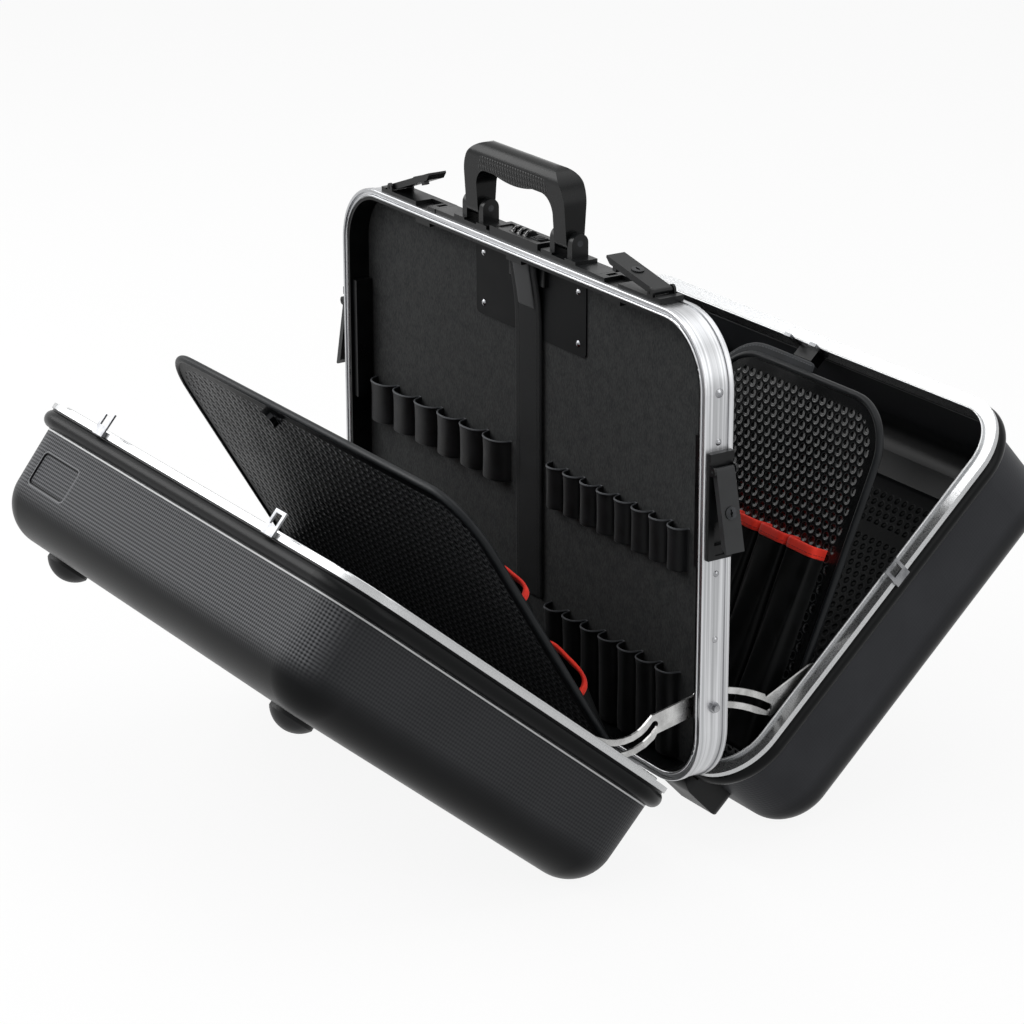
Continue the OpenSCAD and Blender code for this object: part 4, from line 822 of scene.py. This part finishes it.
# Strap down the panel, leaving it towards the upper end, with a smooth patch between its seams
STRAP_W = 36
STRAP_TOP = 341
STRAP_T = 1.9
PATCH_SHARE = 0.62
PATCH_H = 39
PATCH_T = 0.9
strap_line = [(-STRAP_W / 2 + STRAP_W * k / 8, 0.0) for k in range(9)]
strap_rows = [
    (0.0, 9.6), (2.0, 9.7), (10.0, 8.6), (20.0, 6.8), (32.0, 4.8), (46.0, 3.6), (70.0, 3.3), (110.0, 3.5),
    (160.0, 3.2), (210.0, 3.4), (250.0, 3.3), (260.0, 2.6), (266.0, 2.4),
]
patch_rows = [(0.0, 10.2), (2.0, 10.4), (10.0, 9.4), (20.0, 7.6), (32.0, 5.6), (38.0, 4.8), (PATCH_H, 4.3)]


def panel_strip(name, material, replaced, width_share, top, rows, droop, thickness):
    """A strip down the panel with drooping edges; its rows are (distance down, height off the panel)."""

    def at(i, row):
        edge = abs(i - 4) / 4
        return (strap_line[i][0] * width_share, top - row[0], row[1] - droop * edge ** 4)

    bm = bmesh.new()
    pull_rows(bm, strap_line, rows, at)
    bmesh.ops.reverse_faces(bm, faces=[face for face in bm.faces if face.normal.z < 0])
    return soften(thicken(settle(bm, name, ON_PANEL, "frame", material, replaced), thickness))


strap = panel_strip(
    "panel_webbing_strap", strap_webbing, ["panel_strap"], 1.0, STRAP_TOP, strap_rows, 0.3, STRAP_T)
patch = panel_strip(
    "panel_strap_patch", patch_vinyl, [], PATCH_SHARE, STRAP_TOP - 0.4, patch_rows, 0.15, PATCH_T)

# Painted shade: a thin black cover over each opening through which a hook of the rear rim enters, standing
# for the shade seen there; open behind
SHADE_COVER_X = 16
SHADE_COVER_Y = 331.2
SHADE_COVER_Z = 2.4
SHADE_COVER_SIZE = (15.4, 20.4, 4.4)
SHADE_COVER_T = 0.8
for side, at_x in (("left", -SHADE_COVER_X), ("right", SHADE_COVER_X)):
    bm = bmesh.new()
    bmesh.ops.create_cube(bm, size=1)
    bmesh.ops.scale(bm, verts=bm.verts, vec=SHADE_COVER_SIZE)
    bmesh.ops.translate(bm, verts=bm.verts, vec=(at_x, SHADE_COVER_Y, SHADE_COVER_Z))
    bmesh.ops.delete(bm, geom=[face for face in bm.faces if face.normal.z < -0.5], context="FACES_ONLY")
    rims = [edge for edge in bm.edges if not edge.is_boundary]
    bmesh.ops.bevel(bm, geom=rims, offset=0.8, affect="EDGES", segments=3, profile=0.5, material=-1)
    painted_shade_cover = settle(bm, "painted_shade_cover_" + side, ON_PANEL, "frame", liner_pvc, smooth=False)
    thicken(painted_shade_cover, SHADE_COVER_T)


# Round piping along the sides and the top of each board
def piping(board, place, width, length):
    start = BOARD_START + BOARD_LOW_R + 1
    side_step = (length - BOARD_R - start) / 6
    top_step = (width - 2 * BOARD_R) / 8
    bm = bmesh.new()
    ring = bmesh.ops.create_circle(bm, segments=12, radius=PIPING_R)["verts"]
    bmesh.ops.rotate(bm, verts=ring, cent=(0, 0, 0), matrix=Matrix.Rotation(math.pi / 2, 3, "X"))
    bmesh.ops.translate(bm, verts=ring, vec=(-width / 2, start, 0))

    def straight_on(edges, step, count):
        for _ in range(count):
            fresh, edges = pull_edges(bm, edges)
            bmesh.ops.translate(bm, verts=list(fresh), vec=step)
        return edges

    def round_corner(edges, centre):
        made = bmesh.ops.spin(bm, geom=edges, cent=centre, axis=(0, 0, 1), angle=-math.pi / 2, steps=10)
        return [part for part in made["geom_last"] if isinstance(part, bmesh.types.BMEdge)]

    edges = straight_on(list(bm.edges), (0, side_step, 0), 6)
    edges = round_corner(edges, (-width / 2 + BOARD_R, length - BOARD_R, 0))
    edges = straight_on(edges, (top_step, 0, 0), 8)
    edges = round_corner(edges, (width / 2 - BOARD_R, length - BOARD_R, 0))
    straight_on(edges, (0, -side_step, 0), 6)
    bmesh.ops.remove_doubles(bm, verts=bm.verts, dist=0.001)
    bmesh.ops.holes_fill(bm, edges=[edge for edge in bm.edges if edge.is_boundary])
    bmesh.ops.recalc_face_normals(bm, faces=bm.faces)
    name = board + "_board_edge_piping"
    stands_for = [board + "_board_piping"]
    soften(settle(bm, name, place, board + "_board_body", piping_vinyl, stands_for))


piping("front", FRONT_BOARD, FRONT_BOARD_W, FRONT_BOARD_L)
piping("rear", REAR_BOARD, REAR_BOARD_W, REAR_BOARD_L)

# Stitched vinyl strap round the rear board's upper inner corner, behind the board
CORNER_OUT = 10
CORNER_IN = 8
CORNER_T = 1.8
SIDE_L = 70
TOP_L = 60
ARC_STEP = 8.2
ARC_L = 74
corner_x = -REAR_BOARD_W / 2 + BOARD_R
corner_y = REAR_BOARD_L - BOARD_R
corner_line = [(BOARD_R + CORNER_OUT - (CORNER_OUT + CORNER_IN) * k / 6, 0.0) for k in range(7)]
# Rows of (distance along the strap, degrees round the corner, distance before or past the corner)
corner_rows = [(SIDE_L * k / 5, 0.0, -SIDE_L * (1 - k / 5)) for k in range(6)]
corner_rows += [(SIDE_L + ARC_STEP * k, 90 * k / 9, 0.0) for k in range(1, 10)]
corner_rows += [(SIDE_L + ARC_L + TOP_L * k / 4, 90.0, TOP_L * k / 4) for k in range(1, 5)]


def corner_at(i, row):
    """Up the board's side, round its corner and along its upper edge."""
    radius = corner_line[i][0]
    turn = math.radians(row[1])
    x = corner_x - radius * math.cos(turn) + (row[2] if row[1] == 90 else 0)
    y = corner_y + radius * math.sin(turn) + (row[2] if row[1] == 0 else 0)
    return (x, y, -PIPING_R - 0.4)


bm = bmesh.new()
pull_rows(bm, corner_line, corner_rows, corner_at)
bmesh.ops.recalc_face_normals(bm, faces=bm.faces)
corner_strap = settle(
    bm, "rear_board_corner_strap", REAR_BOARD, "rear_board_body", corner_vinyl,
    ["rear_board_strap"])
soften(thicken(corner_strap, CORNER_T))

# Padded dimpled sheet on the inner face of the rear shell, with a crown that rises inside a soft edge
PAD_T = 3
PAD_CROWN = 1
PAD_EDGE = 4
bm = bmesh.new()
bmesh.ops.create_grid(bm, x_segments=1, y_segments=1, size=1)
bmesh.ops.scale(bm, verts=bm.verts, vec=(*PAD_HALF, 1))
bmesh.ops.bevel(bm, geom=bm.verts[:], offset=PAD_R, affect="VERTICES", segments=8, profile=0.5, material=-1)
made = bmesh.ops.extrude_face_region(bm, geom=bm.faces[:])["geom"]
raised = [part for part in made if isinstance(part, bmesh.types.BMVert)]
bmesh.ops.translate(bm, verts=raised, vec=(0, 0, -PAD_T))
crown = [part for part in made if isinstance(part, bmesh.types.BMFace)]
bmesh.ops.inset_region(bm, faces=crown, thickness=PAD_EDGE, depth=0)
crown_points = list({point for face in crown for point in face.verts})
bmesh.ops.translate(bm, verts=crown_points, vec=(0, 0, -PAD_CROWN))
bmesh.ops.recalc_face_normals(bm, faces=bm.faces)
sharp = [edge for edge in bm.edges if edge.calc_face_angle(0) > 0.5 and edge.calc_length() > 0]
bmesh.ops.bevel(bm, geom=sharp, offset=0.7, affect="EDGES", segments=2, profile=0.5, material=-1)
pad_place = REAR_FLOOR @ shifted(0, 0, SHELL_D - SHELL_T)
pad = settle(bm, "rear_shell_pad", pad_place, "rear_shell_body", pad_vinyl, ["rear_pad"])

# Figures 0 to 9 round each dial, just clear of its surface
FIGURE_H = 4.2
FIGURE_OFF = 0.04
for dial in (1, 2, 3):
    bm = bmesh.new()
    for figure in range(10):
        curve = bpy.data.curves.new("figure", "FONT")
        curve.body = str(figure)
        curve.size = FIGURE_H
        curve.align_x = "CENTER"
        curve.align_y = "CENTER"
        shown = bpy.data.objects.new("figure", curve)
        flat = bpy.data.meshes.new_from_object(shown)
        flat.transform(turned(36 * figure, "X") @ shifted(0, 0, DIAL_R + FIGURE_OFF))
        bm.from_mesh(flat)
        bpy.data.objects.remove(shown)
        bpy.data.curves.remove(curve)
        bpy.data.meshes.remove(flat)
    on_dial = ON_TOP @ shifted((dial - 2) * DIAL_PITCH, 0, DIAL_Z)
    settle(bm, f"dial_{dial}_figures", on_dial, f"dial_{dial}_body", figures, smooth=False)

# Studio: white to the camera and in reflections, dimmer as light
WORLD_LIGHT = 0.36
scene = bpy.context.scene
scene.view_settings.view_transform = "Standard"
world = bpy.data.worlds.new("studio")
scene.world = world
world.use_nodes = True
sky = world.node_tree
seen = any_ray(sky, "Is Glossy Ray", "Is Transmission Ray", "Is Camera Ray")
background = sky.nodes["Background"]
background.inputs["Color"].default_value = (1, 1, 1, 1)
sky.links.new(add(sky, "MapRange", seen, 0.0, 1.0, WORLD_LIGHT, 1.0), background.inputs["Strength"])


# Matt white paper: mostly its own white where the camera or a reflection sees it, so that its shadow is soft
def floor_paper():
    material, tree, shader, place = finish_of("floor_paper")
    fibre = add(tree, "MapRange", grain(tree, place, 3.0), 0.3, 0.7)
    fibres = {"Factor": fibre, UNDER: colour("#f3f3f3"), OVER: colour("#f7f7f7")}
    tone = add(tree, "Mix", named=fibres, **TWO_COLOURS)
    dress(tree, shader, tone, add(tree, "MapRange", fibre, 0, 1, 0.85, 0.95))
    shown = any_ray(tree, "Is Camera Ray", "Is Glossy Ray")
    own_white = add(tree, "Math", shown, 0.9, operation="MULTIPLY")
    glow = add(tree, "Emission", (1, 1, 1, 1), 1.0)
    surface = add(tree, "MixShader", own_white, shader.outputs[0], glow)
    tree.links.new(surface, tree.nodes["Material Output"].inputs["Surface"])
    return material


# Pale floor that keeps the shadow
FLOOR_HALF = 6
bm = bmesh.new()
bmesh.ops.create_grid(bm, x_segments=1, y_segments=1, size=FLOOR_HALF)
floor_mesh = bpy.data.meshes.new("floor")
bm.to_mesh(floor_mesh)
bm.free()
floor = bpy.data.objects.new("floor", floor_mesh)
bpy.context.scene.collection.objects.link(floor)
floor_mesh.materials.append(floor_paper())

# Lamps: name, place and size in metres, and power in watts; all of them face the lower half of the case
LAMP_AIM = Vector((0, 0, 0.2))
LAMPS = (
    ("key", (-1.7, -1.3, 1.5), 1.7, 34),
    ("front", (-0.8, -2.3, 1.9), 1.8, 20),
    ("fill", (2.3, 0.7, 1.3), 1.8, 17),
    ("top", (0.2, 0.6, 2.6), 2.2, 24),
)
for name, at, size, power in LAMPS:
    light = bpy.data.lights.new(name, "AREA")
    light.energy = power
    light.size = size
    lamp = bpy.data.objects.new(name, light)
    bpy.context.scene.collection.objects.link(lamp)
    lamp.location = at
    lamp.rotation_mode = "QUATERNION"
    lamp.rotation_quaternion = (LAMP_AIM - Vector(at)).to_track_quat("-Z", "Y")
